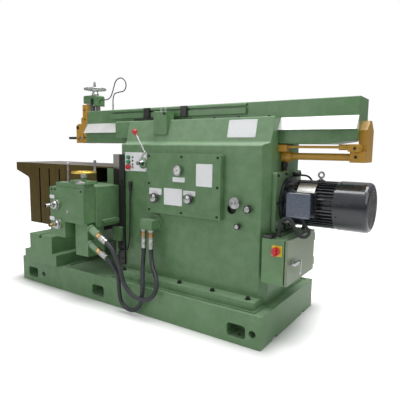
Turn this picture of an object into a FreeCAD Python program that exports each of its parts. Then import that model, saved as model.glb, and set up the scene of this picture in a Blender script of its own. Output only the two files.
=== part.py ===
import FreeCAD
import Part
import math
import os

# Hydraulic shaping machine, sizes in millimetres.
# X runs along the ram, -X is the tool end. -Y is the operator's side. Z is up.
# The origin is the centre of the bed's underside, on the floor.

V = FreeCAD.Vector
os.makedirs("parts", exist_ok=True)

# Bed and column
BED_LENGTH = 2400.0
BED_HALF_WIDTH = 456.5
BED_HEIGHT = 210.0
POCKET_X = (-1045.0, -207.0, 1029.0)
POCKET_WIDTH = 130.0
POCKET_LOW = 42.0
POCKET_HIGH = 128.0
POCKET_DEPTH = 112.0
FOUNDATION_HOLE_R = 14.0
FOUNDATION_Y = 400.0
LIFTING_HOLE_X = (-895.0, 1142.0)
LIFTING_HOLE_Z = 91.0
LIFTING_HOLE_R = 23.0
FOOT_HALF_WIDTH = 397.0
FOOT_REAR = 1117.0
FOOT_TOP = 262.0
COLUMN_FRONT = -90.0
COLUMN_SIDE_REAR = 1100.0
COLUMN_REAR = 1130.0
COLUMN_HALF_WIDTH = 300.0
COLUMN_REAR_HALF = 226.0
SHOULDER_LOW = 1232.0
SHOULDER_STEP_Y = 242.0
SHOULDER_STEP_Z = 1244.0
COLUMN_TOP_Y = 203.0
COLUMN_TOP = 1409.0
NOSE_FRONT = -245.0
TRIP_PIVOT_X = 128.0
TRIP_PIVOT_Y = -168.0
TRIP_PIN_R = 6.0
BUTTON_X = -5.0
BUTTON_Z = (1133.0, 1098.0, 1060.0)
BUTTON_WELL_R = 11.0
MANIFOLD_EXIT_X = (212.0, 282.0)
MANIFOLD_EXIT_Y = -386.0
MANIFOLD_EXIT_Z = 480.0

# Ram and its guide
RAM_FRONT = -682.0
RAM_REAR = 1607.0
RAM_TOP = 1515.0
RAM_TOP_HALF = 109.0
RAM_WAY_TOP = 1407.0
RAM_WAY_HALF = 163.0
RAM_WAY_LOW = 1325.0
RAM_BODY_HALF = 130.0
RAM_BOTTOM = 1241.0
SLIDE_GAP = 0.5
MOVING_GAP = 6.0
ROD_GAP = 0.05
PIN_GAP = 0.08
LOWER_ROD_Y = -60.0
LOWER_ROD_Z = 1163.0
LOWER_ROD_R = 22.0
UPPER_ROD_Y = -110.0
UPPER_ROD_Z = 1222.0
UPPER_ROD_R = 8.0
ROD_FRONT = 330.0
ROD_REACH = 370.0
GLAND_REAR = 1198.0

# Tool head
SWIVEL_Z = 1378.0
SCREW_X = -703.0
SLIDE_BACK = -722.0
SLIDE_FRONT = -786.0
SLIDE_LOW = 1246.0
SLIDE_HIGH = 1578.0
SLIDE_HALF = 80.0
DOVETAIL_NECK = 44.0
DOVETAIL_HEAD = 60.0
DOVETAIL_FRONT = -750.0
CLAPPER_PIN_X = -858.0
CLAPPER_PIN_Z = 1378.0
WHEEL_Z = 1718.0
WHEEL_R = 92.0
WHEEL_RIM_R = 7.5

# Cross rail, saddle and table
RAIL_LOW = 612.0
RAIL_HIGH = 914.0
RAIL_FRONT = -429.5
RAIL_REAR = -150.0
RAIL_WING_REAR = -115.0
RAIL_NEAR_END = -540.0
RAIL_FAR_END = 660.0
DIALS = ((-418.0, 774.0), (-400.0, 627.0))
DIAL_SHAFT_R = 11.0
FEED_X = -170.0
FEED_Y = -600.0
FEED_Z = 1022.0
FEED_R = 82.0
FEED_SHAFT_R = 10.0
LEVER_X = -330.0
LEVER_Y = -612.0
LEVER_Z = 926.0
LEVER_PIN_R = 8.0
BLOCK_REAR = -145.0
HOSE_Y = -572.0
HOSE_OUTLET_Z = (612.0, 500.0)
HOSE_TILT = 27.0
WAY_INNER = 225.0
WAY_OUTER = 300.0
WAY_FRONT = -180.0
WAY_LOW = 290.0
WAY_HIGH = 1152.0
TABLE_TOP = 1052.0
TABLE_LOW = 482.0
TABLE_FRONT = -1567.0
TABLE_BODY_FRONT = -1365.0
TABLE_REAR = -480.0
TABLE_HALF = 250.0
T_SLOT_MOUTH = 18.0
T_SLOT_HEAD = 32.0
SUPPORT_RAIL_HALF = 512.0
SUPPORT_RAIL_TOP = 460.0

# Motor and electrical box
MOTOR_Z = 861.0
MOTOR_FLANGE_R = 170.0
MOTOR_FIN_R = 149.0
MOTOR_CORE_R = 131.0
MOTOR_FIN_COUNT = 40
COWL_R = 153.0
COWL_WALL = 3.0
PLATE_REAR = 1160.0
BOX_REAR = 1278.0
DOOR_FRONT = 1284.0
DOOR_REAR = 1300.0
BOX_NEAR = -336.0
BOX_FAR = 148.0
BOX_LOW = 386.0
BOX_HIGH = 665.0

# Cord routes
HOSE_LOWER = [(212, -386, 479.9), (212, -386, 428), (222, -412, 350), (268, -462, 258), (300, -500, 170),
              (268, -500, 66), (186, -500, 24), (90, -502, 62), (78, -508, 150), (98, -530, 235),
              (120, -556, 308), (61.8, -572, 390.54), (21.73, -572, 410.97)]
HOSE_UPPER = [(282, -386, 479.9), (282, -386, 418), (330, -424, 350), (402, -468, 305), (428, -498, 232),
              (392, -528, 160), (290, -542, 150), (206, -548, 190), (166, -558, 262), (150, -564, 345),
              (116, -571, 430), (61.8, -572, 502.54), (21.73, -572, 522.97)]
OIL_HOSE = [(-629.95, -8, 1620), (-590, -8, 1620), (-535, -16, 1616), (-480, -26, 1632), (-438, -34, 1700),
            (-408, -38, 1770), (-334, -40, 1790), (-278, -40, 1738), (-296, -40, 1672), (-372, -40, 1668),
            (-440, -40, 1655), (-440, -40, 1578.05)]
CONDUIT = [(1219, -290, 675.05), (1219, -290, 735), (1236, -282, 792), (1286, -274, 792), (1308, -264, 738),
           (1324, -252, 690), (1372, -238, 680), (1392, -222, 716), (1352, -206, 744), (1335, -203, 776)]
REAR_CABLE = [(1160.05, 75, 1036), (1205, 75, 1036), (1262, 108, 1030), (1275, 190, 940), (1272, 192, 815),
              (1232, 104, 728), (1232, 104, 673.05)]
SENSOR_CABLE = [(12, -312, 880), (9, -316, 800), (14, -318, 700), (10, -320, 600), (12, -322, 510),
                (0, -330, 420), (-50, -332, 404), (-89.95, -332, 404)]

PARTS = {}


def point(axis, along, first, second):
    """Point from a position along one axis and two positions across it, in X, Y, Z order."""
    if axis == "x":
        return V(along, first, second)
    if axis == "y":
        return V(first, along, second)
    return V(first, second, along)


def direction(axis):
    return point(axis, 1.0, 0.0, 0.0)


def prism(axis, outline, start, end, radius=0.0, radii=None):
    """Extrude a closed outline of corner points along an axis, with rounded corners."""
    corners = [point(axis, start, a, b) for a, b in outline]
    count = len(corners)
    edges = []
    joints = []
    for index, corner in enumerate(corners):
        corner_radius = radii.get(index, radius) if radii else radius
        before = (corners[index - 1] - corner).normalize()
        after = (corners[(index + 1) % count] - corner).normalize()
        half = before.getAngle(after) / 2
        if corner_radius <= 0 or half > 1.56:
            joints.append((corner, None, corner))
            continue
        reach = corner_radius / math.tan(half)
        middle = (before + after).normalize() * (corner_radius / math.sin(half) - corner_radius)
        joints.append((corner + before * reach, corner + middle, corner + after * reach))
    for index, (first, middle, last) in enumerate(joints):
        if middle is not None:
            edges.append(Part.Arc(first, middle, last).toShape())
        following = joints[(index + 1) % count][0]
        if last.distanceToPoint(following) > 1e-6:
            edges.append(Part.LineSegment(last, following).toShape())
    face = Part.Face(Part.Wire(edges))
    return face.extrude(direction(axis) * (end - start))


def box(x0, x1, y0, y1, z0, z1, radius=0.0, axis="z"):
    """Block between two corners, its four edges along one axis rounded."""
    if axis == "z":
        return prism("z", [(x0, y0), (x1, y0), (x1, y1), (x0, y1)], z0, z1, radius)
    if axis == "y":
        return prism("y", [(x0, z0), (x1, z0), (x1, z1), (x0, z1)], y0, y1, radius)
    return prism("x", [(y0, z0), (y1, z0), (y1, z1), (y0, z1)], x0, x1, radius)


def cylinder(axis, start, end, first, second, radius):
    low, high = min(start, end), max(start, end)
    return Part.makeCylinder(radius, high - low, point(axis, low, first, second), direction(axis))


def spin(axis, first, second, outline):
    """Turn an outline of (along, radius) points round an axis."""
    side = point(axis, 0.0, 0.0, 1.0) if axis != "z" else V(1, 0, 0)
    base = point(axis, 0.0, first, second)
    points = [base + direction(axis) * along + side * radius for along, radius in outline]
    face = Part.Face(Part.makePolygon(points + [points[0]]))
    return face.revolve(base, direction(axis), 360)


def hexagon(axis, start, end, first, second, across):
    corner = across / math.sqrt(3)
    turn = math.radians(60)
    outline = [(first + corner * math.cos(turn * i), second + corner * math.sin(turn * i)) for i in range(6)]
    return prism(axis, outline, start, end)


def ring(axis, along, first, second, major, minor):
    return Part.makeTorus(major, minor, point(axis, along, first, second), direction(axis))


def rod(start, end, radius):
    start, end = V(*start), V(*end)
    return Part.makeCylinder(radius, (end - start).Length, start, end - start)


def tube_route(name, route, diameter):
    """Sweep a round cord along straight runs joined by arcs that touch both runs."""
    points = [V(*p) for p in route]
    edges = []
    last = points[0]
    for index in range(1, len(points) - 1):
        corner = points[index]
        before = points[index - 1] - corner
        after = points[index + 1] - corner
        half_turn = (math.pi - before.getAngle(after)) / 2
        reach = 0.45 * min(before.Length, after.Length)
        radius = reach / math.tan(half_turn)
        print(name, "arc radius", round(radius, 1))
        before.normalize()
        after.normalize()
        middle = (before + after).normalize() * (radius / math.cos(half_turn) - radius)
        first, second = corner + before * reach, corner + after * reach
        edges.append(Part.LineSegment(last, first).toShape())
        edges.append(Part.Arc(first, corner + middle, second).toShape())
        last = second
    edges.append(Part.LineSegment(last, points[-1]).toShape())
    path = Part.Wire(edges)
    profile = Part.Wire([Part.makeCircle(diameter / 2, points[0], points[1] - points[0])])
    solid = path.makePipeShell([profile], True, True)
    print(name, "length", round(path.Length, 1), "volume share",
          round(solid.Volume / (path.Length * math.pi * diameter ** 2 / 4), 4))
    return solid


def t_slot(axis, start, end, first, second, into, depth=30.0):
    """Cutter for a T slot whose mouth is at one point and that goes inwards along a unit vector."""
    across = (-into[1], into[0])
    half_mouth, half_head, lip = T_SLOT_MOUTH / 2, T_SLOT_HEAD / 2, depth * 0.45
    shape = [(-1, half_mouth), (lip, half_mouth), (lip, half_head), (depth, half_head)]
    shape += [(d, -h) for d, h in reversed(shape)]
    outline = [(first + into[0] * d + across[0] * h, second + into[1] * d + across[1] * h) for d, h in shape]
    return prism(axis, outline, start, end)


def mirror_y(shape):
    return shape.mirror(V(0, 0, 0), V(0, 1, 0))


def both_sides(shape):
    return [shape, mirror_y(shape)]


def keep(name, *shapes):
    """Store one named piece made of one or more solids that don't touch."""
    PARTS[name] = shapes[0] if len(shapes) == 1 else Part.makeCompound(list(shapes))


def ram_outline(gap=0.0, top=RAM_TOP, low=RAM_BOTTOM, body=RAM_BODY_HALF, under=0.0):
    """Half outlines of the ram joined into one section, widened by a gap for its guide."""
    right = [
        (RAM_TOP_HALF + gap, top),
        (RAM_TOP_HALF + gap, RAM_WAY_TOP + gap / 2),
        (RAM_WAY_HALF + gap, RAM_WAY_LOW - under),
        (body, RAM_WAY_LOW - under),
        (body, low),
    ]
    return right + [(-y, z) for y, z in reversed(right)]


def make_bed():
    half = BED_LENGTH / 2
    bed = box(-half, half, -BED_HALF_WIDTH, BED_HALF_WIDTH, 0, BED_HEIGHT, 10)
    for side in (-1, 1):
        face = side * BED_HALF_WIDTH
        inner = side * (BED_HALF_WIDTH - POCKET_DEPTH)
        for x in POCKET_X:
            pocket = box(x - POCKET_WIDTH / 2, x + POCKET_WIDTH / 2, min(face, inner), max(face, inner),
                         POCKET_LOW, POCKET_HIGH, 20, "y")
            bed = bed.cut(pocket)
            bed = bed.cut(cylinder("z", -1, POCKET_LOW + 5, x, side * FOUNDATION_Y, FOUNDATION_HOLE_R))
        for x in LIFTING_HOLE_X:
            bed = bed.cut(cylinder("y", face - side * 90, face + side, x, LIFTING_HOLE_Z, LIFTING_HOLE_R))
        notch = box(half - 40, half + 1, side * 250 - 35, side * 250 + 35, -1, 16, 6, "x")
        bed = bed.cut(notch)
    tray = box(-620, COLUMN_FRONT - 40, -400, 400, BED_HEIGHT - 10, BED_HEIGHT + 1, 25)
    gutter_out = box(COLUMN_FRONT, FOOT_REAR + 40, -FOOT_HALF_WIDTH - 34, FOOT_HALF_WIDTH + 34,
                     BED_HEIGHT - 8, BED_HEIGHT + 1, 12)
    gutter_in = box(COLUMN_FRONT - 1, FOOT_REAR + 14, -FOOT_HALF_WIDTH - 12, FOOT_HALF_WIDTH + 12,
                    BED_HEIGHT - 9, BED_HEIGHT + 2, 8)
    keep("bed", bed.cut(tray).cut(gutter_out.cut(gutter_in)))


def make_support_rail():
    outline = [(-1071, BED_HEIGHT), (-1071, 310), (-993, 310), (-993, SUPPORT_RAIL_TOP),
               (-693, SUPPORT_RAIL_TOP), (-693, 310), (-640, 310), (-640, BED_HEIGHT)]
    rail = prism("y", outline, -SUPPORT_RAIL_HALF, SUPPORT_RAIL_HALF, 6, {0: 0, 7: 0})
    slot = t_slot("y", -SUPPORT_RAIL_HALF - 1, SUPPORT_RAIL_HALF + 1, -843, SUPPORT_RAIL_TOP, (0, -1))
    keep("support_rail", rail.cut(slot))


def make_column():
    plan = [(COLUMN_FRONT, -COLUMN_HALF_WIDTH), (COLUMN_SIDE_REAR, -COLUMN_HALF_WIDTH),
            (COLUMN_REAR, -COLUMN_REAR_HALF), (COLUMN_REAR, COLUMN_REAR_HALF),
            (COLUMN_SIDE_REAR, COLUMN_HALF_WIDTH), (COLUMN_FRONT, COLUMN_HALF_WIDTH)]
    wall = prism("z", plan, BED_HEIGHT, COLUMN_TOP, 0, {0: 12, 1: 10, 4: 10, 5: 12})
    near = [(-COLUMN_HALF_WIDTH, BED_HEIGHT - 1), (-COLUMN_HALF_WIDTH, SHOULDER_LOW),
            (-SHOULDER_STEP_Y, SHOULDER_STEP_Z), (-COLUMN_TOP_Y, COLUMN_TOP)]
    section = near + [(-y, z) for y, z in reversed(near)]
    radii = {1: 14, 2: 20, 3: 6, 4: 6, 5: 20, 6: 14}
    body = wall.common(prism("x", section, COLUMN_FRONT - 1, COLUMN_REAR + 1, 0, radii))
    foot = box(COLUMN_FRONT, FOOT_REAR, -FOOT_HALF_WIDTH, FOOT_HALF_WIDTH, BED_HEIGHT, FOOT_TOP, 8)
    nose = box(NOSE_FRONT, COLUMN_FRONT + 20, -205, 205, 1277, COLUMN_TOP, 8, "x")
    body = body.fuse([foot, nose]).removeSplitter()
    channel = ram_outline(SLIDE_GAP, COLUMN_TOP + 1, RAM_BOTTOM - MOVING_GAP, RAM_BODY_HALF + MOVING_GAP, SLIDE_GAP)
    rod_end = ROD_FRONT - ROD_REACH
    half_slot = UPPER_ROD_R + MOVING_GAP
    cutters = [
        prism("x", channel, NOSE_FRONT - 1, COLUMN_REAR + 1),
        box(rod_end, COLUMN_REAR + 1, UPPER_ROD_Y - half_slot, UPPER_ROD_Y + half_slot,
            UPPER_ROD_Z - half_slot, RAM_BOTTOM),
        cylinder("x", rod_end, COLUMN_REAR + 1, LOWER_ROD_Y, LOWER_ROD_Z, LOWER_ROD_R + MOVING_GAP),
        cylinder("z", COLUMN_TOP - 22, COLUMN_TOP + 1, TRIP_PIVOT_X, TRIP_PIVOT_Y, TRIP_PIN_R + PIN_GAP),
        cylinder("y", -COLUMN_HALF_WIDTH - 1, -COLUMN_HALF_WIDTH + 24, 893, 818, 30),
    ]
    for z in BUTTON_Z:
        cutters.append(cylinder("y", -COLUMN_HALF_WIDTH - 1, -COLUMN_HALF_WIDTH + 12, BUTTON_X, z, BUTTON_WELL_R))
    keep("column", body.cut(cutters))
    plate = box(COLUMN_REAR, PLATE_REAR, -212, 212, 674, 1062, 14, "x")
    keep("motor_plate", plate.cut(cylinder("x", PLATE_REAR - 8, PLATE_REAR + 1, 0, MOTOR_Z, 100)))


def make_column_fittings():
    way = box(WAY_FRONT, COLUMN_FRONT, -WAY_OUTER, -WAY_INNER, WAY_LOW, WAY_HIGH, 3)
    keep("column_ways", *both_sides(way))
    cover = box(-98, -48, -COLUMN_HALF_WIDTH - 18, -COLUMN_HALF_WIDTH, WAY_LOW, WAY_HIGH, 3)
    keep("way_covers", *both_sides(cover))
    cover_plate = box(204, 828, -340, -COLUMN_HALF_WIDTH, 738, 1166, 7, "y")
    keep("side_cover", cover_plate)
    gauge = spin("y", 497, 1053, [(-340, 0), (-340, 22), (-350, 22), (-352, 33), (-372, 33), (-372, 29),
                                  (-368, 28), (-368, 0)])
    keep("pressure_gauge", gauge)
    control = box(-46, 171, -306, -COLUMN_HALF_WIDTH, 1030, 1170, 5, "y")
    wells = [cylinder("y", -307, -299, BUTTON_X, z, BUTTON_WELL_R) for z in BUTTON_Z]
    keep("control_plate", control.cut(wells))
    for name, z, head in zip(("start_button_upper", "start_button_lower", "stop_button"), BUTTON_Z, (13, 13, 20)):
        stem = cylinder("y", -318, -295, BUTTON_X, z, BUTTON_WELL_R - SLIDE_GAP)
        top = spin("y", BUTTON_X, z, [(-314, 0), (-314, head - 2), (-316, head), (-325, head), (-329, head - 4), (-330, 0)])
        keep(name, stem.fuse(top).removeSplitter())
    hub = spin("y", 140, 1092, [(-306, 0), (-306, 30), (-318, 30), (-324, 24), (-350, 14), (-372, 14), (-372, 0)])
    arm_y = -362.0
    knee, tip, ball = (205, arm_y, 1174), (113, arm_y, 1312), (108, arm_y, 1319)
    arm = rod((140, arm_y, 1092), knee, 6).fuse([Part.makeSphere(7.5, V(*knee)), rod(knee, tip, 6)])
    keep("start_lever", hub.fuse([arm, Part.makeSphere(19, V(*ball), V(0, 1, 0))]).removeSplitter())


def make_valve():
    top, low = COLUMN_TOP + 61, COLUMN_TOP - 109
    section = [(-152, COLUMN_TOP), (-152, top), (-240, top), (-240, low), (-229, low), (-COLUMN_TOP_Y, COLUMN_TOP)]
    block = prism("x", section, 183, 306, 0, {1: 5, 2: 5, 3: 4})
    keep("valve_block", block.cut(PARTS["column"]))
    bar = box(-74, TRIP_PIVOT_X, TRIP_PIVOT_Y - 8, TRIP_PIVOT_Y + 8, COLUMN_TOP + MOVING_GAP, 1427, 3)
    boss = cylinder("z", COLUMN_TOP + 0.3, 1430, TRIP_PIVOT_X, TRIP_PIVOT_Y, 13)
    lever = bar.fuse([boss, cylinder("z", COLUMN_TOP - 20, 1416, TRIP_PIVOT_X, TRIP_PIVOT_Y, TRIP_PIN_R)])
    keep("trip_lever", lever.removeSplitter())
    manifold = box(193, 305, -404, -COLUMN_HALF_WIDTH, 618, 692, 7, "y")
    manifold = manifold.fuse(cylinder("y", -316, -COLUMN_HALF_WIDTH, 262, 662, 62))
    spigots = [cylinder("z", MANIFOLD_EXIT_Z, 619, x, MANIFOLD_EXIT_Y, 17) for x in MANIFOLD_EXIT_X]
    keep("hose_manifold", manifold.fuse(spigots).removeSplitter())
    switch = box(-150, -62, -345, -COLUMN_HALF_WIDTH - 18, 480, 590, 6, "y")
    stem = cylinder("z", 364, 481, -112, -332, 8)
    gland = cylinder("x", -112, -90, -332, 404, 8)
    keep("limit_switch", switch.fuse([stem, gland]).removeSplitter())


def make_side_knobs():
    disc = spin("y", 925, 862, [(-300, 0), (-300, 26), (-306, 30), (-316, 38), (-330, 38), (-333, 34), (-333, 0)])
    keep("relief_knob", disc)
    for name, x, z, size in (("star_knob_rear", 1020, 830, 30), ("star_knob_low", 950, 712, 23)):
        points = []
        for index in range(12):
            reach = size if index % 2 == 0 else size * 0.68
            turn = math.radians(30 * index + 15)
            points.append((x + reach * math.cos(turn), z + reach * math.sin(turn)))
        star = prism("y", points, -336, -314, size * 0.12)
        keep(name, star.fuse(cylinder("y", -315, -COLUMN_HALF_WIDTH, x, z, size * 0.45)).removeSplitter())
    for name, x, z in (("panel_knob_left", 285, 850), ("panel_knob_right", 586, 862)):
        knob = spin("y", x, z, [(-340, 0), (-340, 26), (-352, 34), (-368, 34), (-374, 28), (-374, 0)])
        keep(name, knob)


def make_motor():
    outline = []
    pitch = 2 * math.pi / MOTOR_FIN_COUNT
    for index in range(MOTOR_FIN_COUNT):
        centre = pitch * index
        for offset, radius in ((-0.26, MOTOR_CORE_R), (-0.15, MOTOR_FIN_R), (0.15, MOTOR_FIN_R), (0.26, MOTOR_CORE_R)):
            turn = centre + pitch * offset
            outline.append((radius * math.cos(turn), MOTOR_Z + radius * math.sin(turn)))
    fins = prism("x", outline, 1228, 1497)
    flange = spin("x", 0, MOTOR_Z, [(PLATE_REAR, 0), (PLATE_REAR, MOTOR_FLANGE_R), (1178, MOTOR_FLANGE_R),
                                    (1184, 128), (1214, 128), (1222, 140), (1234, 140), (1234, 0)])
    spigot = cylinder("x", PLATE_REAR - 7, PLATE_REAR + 2, 0, MOTOR_Z, 99.8)
    shield = cylinder("x", 1490, 1516, 0, MOTOR_Z, COWL_R - COWL_WALL)
    frame = flange.fuse([fins, shield, spigot]).removeSplitter()
    saddle = box(1236, 1392, -160, -110, 790, 945, 8, "y")
    boss = box(1350, 1394, -20, 20, 990, 1014, 6)
    keep("motor_frame", frame.fuse([saddle, boss]).removeSplitter())
    inner, outer = COWL_R - COWL_WALL, COWL_R
    shell = spin("x", 0, MOTOR_Z, [(1502, inner), (1502, outer), (1664, outer), (1676, 150), (1685, 142), (1690, 128),
                                   (1690, 0), (1687, 0), (1687, 127), (1682, 139), (1674, 146), (1663, inner)])
    slots = []
    for radius_in, radius_out, count in ((30, 62, 18), (70, 98, 30), (106, 126, 40)):
        for index in range(count):
            slot = box(1684, 1692, -2.6, 2.6, MOTOR_Z + radius_in, MOTOR_Z + radius_out)
            slot.rotate(V(0, 0, MOTOR_Z), V(1, 0, 0), 360.0 * index / count)
            slots.append(slot)
    keep("motor_cowl", shell.cut(slots))
    case = box(1248, 1372, -232, -160, 798, 940, 14, "y")
    lid = box(1244, 1376, -246, -232, 794, 944, 16, "y")
    conduit_end, before_end = V(*CONDUIT[-1]), V(*CONDUIT[-2])
    inwards = (conduit_end - before_end).normalize()
    gland = Part.makeCylinder(15, 34, conduit_end + inwards * ROD_GAP, inwards)
    case = case.fuse([lid, gland]).removeSplitter()
    keep("terminal_box", case)
    eye = ring("y", 0, 1372, 1047, 17, 6).fuse([cylinder("z", 1014, 1034, 1372, 0, 8),
                                                cylinder("z", 1014, 1020, 1372, 0, 15)])
    keep("eye_bolt", eye.removeSplitter())


def make_electrical_box():
    case = box(COLUMN_REAR, BOX_REAR, BOX_NEAR, BOX_FAR, BOX_LOW, BOX_HIGH, 5)
    case = case.cut(box(COLUMN_REAR + 3, BOX_REAR + 1, BOX_NEAR + 3, BOX_FAR - 3, BOX_LOW + 3, BOX_HIGH - 3))
    gland = hexagon("z", BOX_HIGH, BOX_HIGH + 10, 1219, -290, 34)
    rear_gland = hexagon("z", BOX_HIGH, BOX_HIGH + 8, 1232, 104, 24)
    lug_x, pin_y = 1293.0, BOX_FAR + 9
    parts = [gland, rear_gland]
    for low in (430, 600):
        lug = box(1262, 1300, BOX_FAR - 1, BOX_FAR + 16, low - 12, low, 4)
        parts += [lug, cylinder("z", low - 2, low + 40, lug_x, pin_y, 4)]
    keep("electrical_box", case.fuse(parts).removeSplitter())
    door = box(DOOR_FRONT, DOOR_REAR, BOX_NEAR, BOX_FAR - 6, BOX_LOW, BOX_HIGH, 4, "x")
    door = door.cut(box(DOOR_FRONT - 1, DOOR_REAR - 3, BOX_NEAR + 3, BOX_FAR - 9, BOX_LOW + 3, BOX_HIGH - 3))
    for low in (430, 600):
        leaf = box(DOOR_REAR - 4, DOOR_REAR, BOX_FAR - 20, pin_y, low + 1, low + 38)
        barrel = cylinder("z", low + 1, low + 38, lug_x, pin_y, 7)
        door = door.fuse([leaf, barrel]).cut(cylinder("z", low, low + 39, lug_x, pin_y, 4 + PIN_GAP))
    keep("box_door", door.removeSplitter())
    rose = spin("x", -285, 518, [(1300, 0), (1300, 17), (1306, 17), (1309, 12), (1309, 8), (1326, 8), (1326, 0)])
    grip = box(1318, 1332, -300, -186, 508, 528, 5, "x")
    keep("door_latch", rose.fuse(grip).removeSplitter())
    knob = spin("y", 1230, 598, [(BOX_NEAR, 0), (BOX_NEAR, 18), (-348, 18), (-350, 27), (-362, 26), (-362, 0)])
    bar = box(1222, 1238, -378, -358, 572, 624, 4, "y")
    keep("isolator_knob", knob.fuse(bar).removeSplitter())


def make_ram():
    ram = prism("x", ram_outline(), RAM_FRONT, RAM_REAR, 0, {0: 5, 9: 5, 4: 12, 5: 12})
    taper = prism("y", [(1440, RAM_BOTTOM - 1), (1440, RAM_BOTTOM), (RAM_REAR + 1, 1268), (RAM_REAR + 1, RAM_BOTTOM - 1)],
                  -140, 140)
    keep("ram", ram.cut(taper))
    rail = box(-380, 885, -128, -RAM_TOP_HALF, 1437, 1508, 4, "x")
    rail = rail.cut(box(-381, 886, -129, -119, 1478, 1491)).cut(box(-381, 886, -122, -113, 1472, 1497))
    keep("dog_rail", rail)
    dogs = []
    for x in (28.0, 384.0):
        body = box(x - 27, x + 27, -146, -128, 1434, 1511, 3, "x")
        key = box(x - 27, x + 27, -128.5, -120, 1479, 1490)
        dogs.append(body.fuse(key).removeSplitter())
    keep("trip_dogs", *dogs)
    gable = [(-85, 1196), (-85, 1322), (-20, 1378), (20, 1378), (85, 1322), (85, 1133), (-85, 1133)]
    bracket = prism("x", gable, RAM_REAR, 1652, 6)
    arm = box(1562, 1630, -142, 70, 1196, 1240, 5, "x")
    block = box(1566, 1652, -108, -12, 1133, 1197, 5, "x")
    bracket = bracket.fuse([arm, block]).removeSplitter()
    bracket = bracket.cut(cylinder("x", 1540, 1640, LOWER_ROD_Y, LOWER_ROD_Z, LOWER_ROD_R))
    bracket = bracket.cut(cylinder("x", 1540, 1620, UPPER_ROD_Y, UPPER_ROD_Z, UPPER_ROD_R))
    keep("ram_bracket", bracket)
    lower = cylinder("x", ROD_FRONT, 1640, LOWER_ROD_Y, LOWER_ROD_Z, LOWER_ROD_R)
    upper = cylinder("x", ROD_FRONT, 1620, UPPER_ROD_Y, UPPER_ROD_Z, UPPER_ROD_R)
    collar = cylinder("x", 1504, 1562, UPPER_ROD_Y, UPPER_ROD_Z, 17)
    keep("ram_rods", lower, upper.fuse(collar).removeSplitter())
    high = box(COLUMN_REAR, GLAND_REAR - 14, UPPER_ROD_Y - 26, UPPER_ROD_Y + 26, 1190, 1235, 5, "x")
    high = high.cut(cylinder("x", COLUMN_REAR - 1, GLAND_REAR, UPPER_ROD_Y, UPPER_ROD_Z, UPPER_ROD_R + ROD_GAP))
    low = spin("x", LOWER_ROD_Y, LOWER_ROD_Z, [(COLUMN_REAR, 0), (COLUMN_REAR, 31), (1172, 31), (1178, 26), (GLAND_REAR, 26),
                                               (GLAND_REAR, 0)])
    pipe = cylinder("z", 1062, 1150, 1146, LOWER_ROD_Y, 15)
    nut = hexagon("z", 1062, 1080, 1146, LOWER_ROD_Y, 24)
    low = low.fuse([pipe, nut]).removeSplitter()
    low = low.cut(cylinder("x", COLUMN_REAR - 1, GLAND_REAR + 1, LOWER_ROD_Y, LOWER_ROD_Z, LOWER_ROD_R + ROD_GAP))
    keep("rod_glands", high, low)


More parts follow.
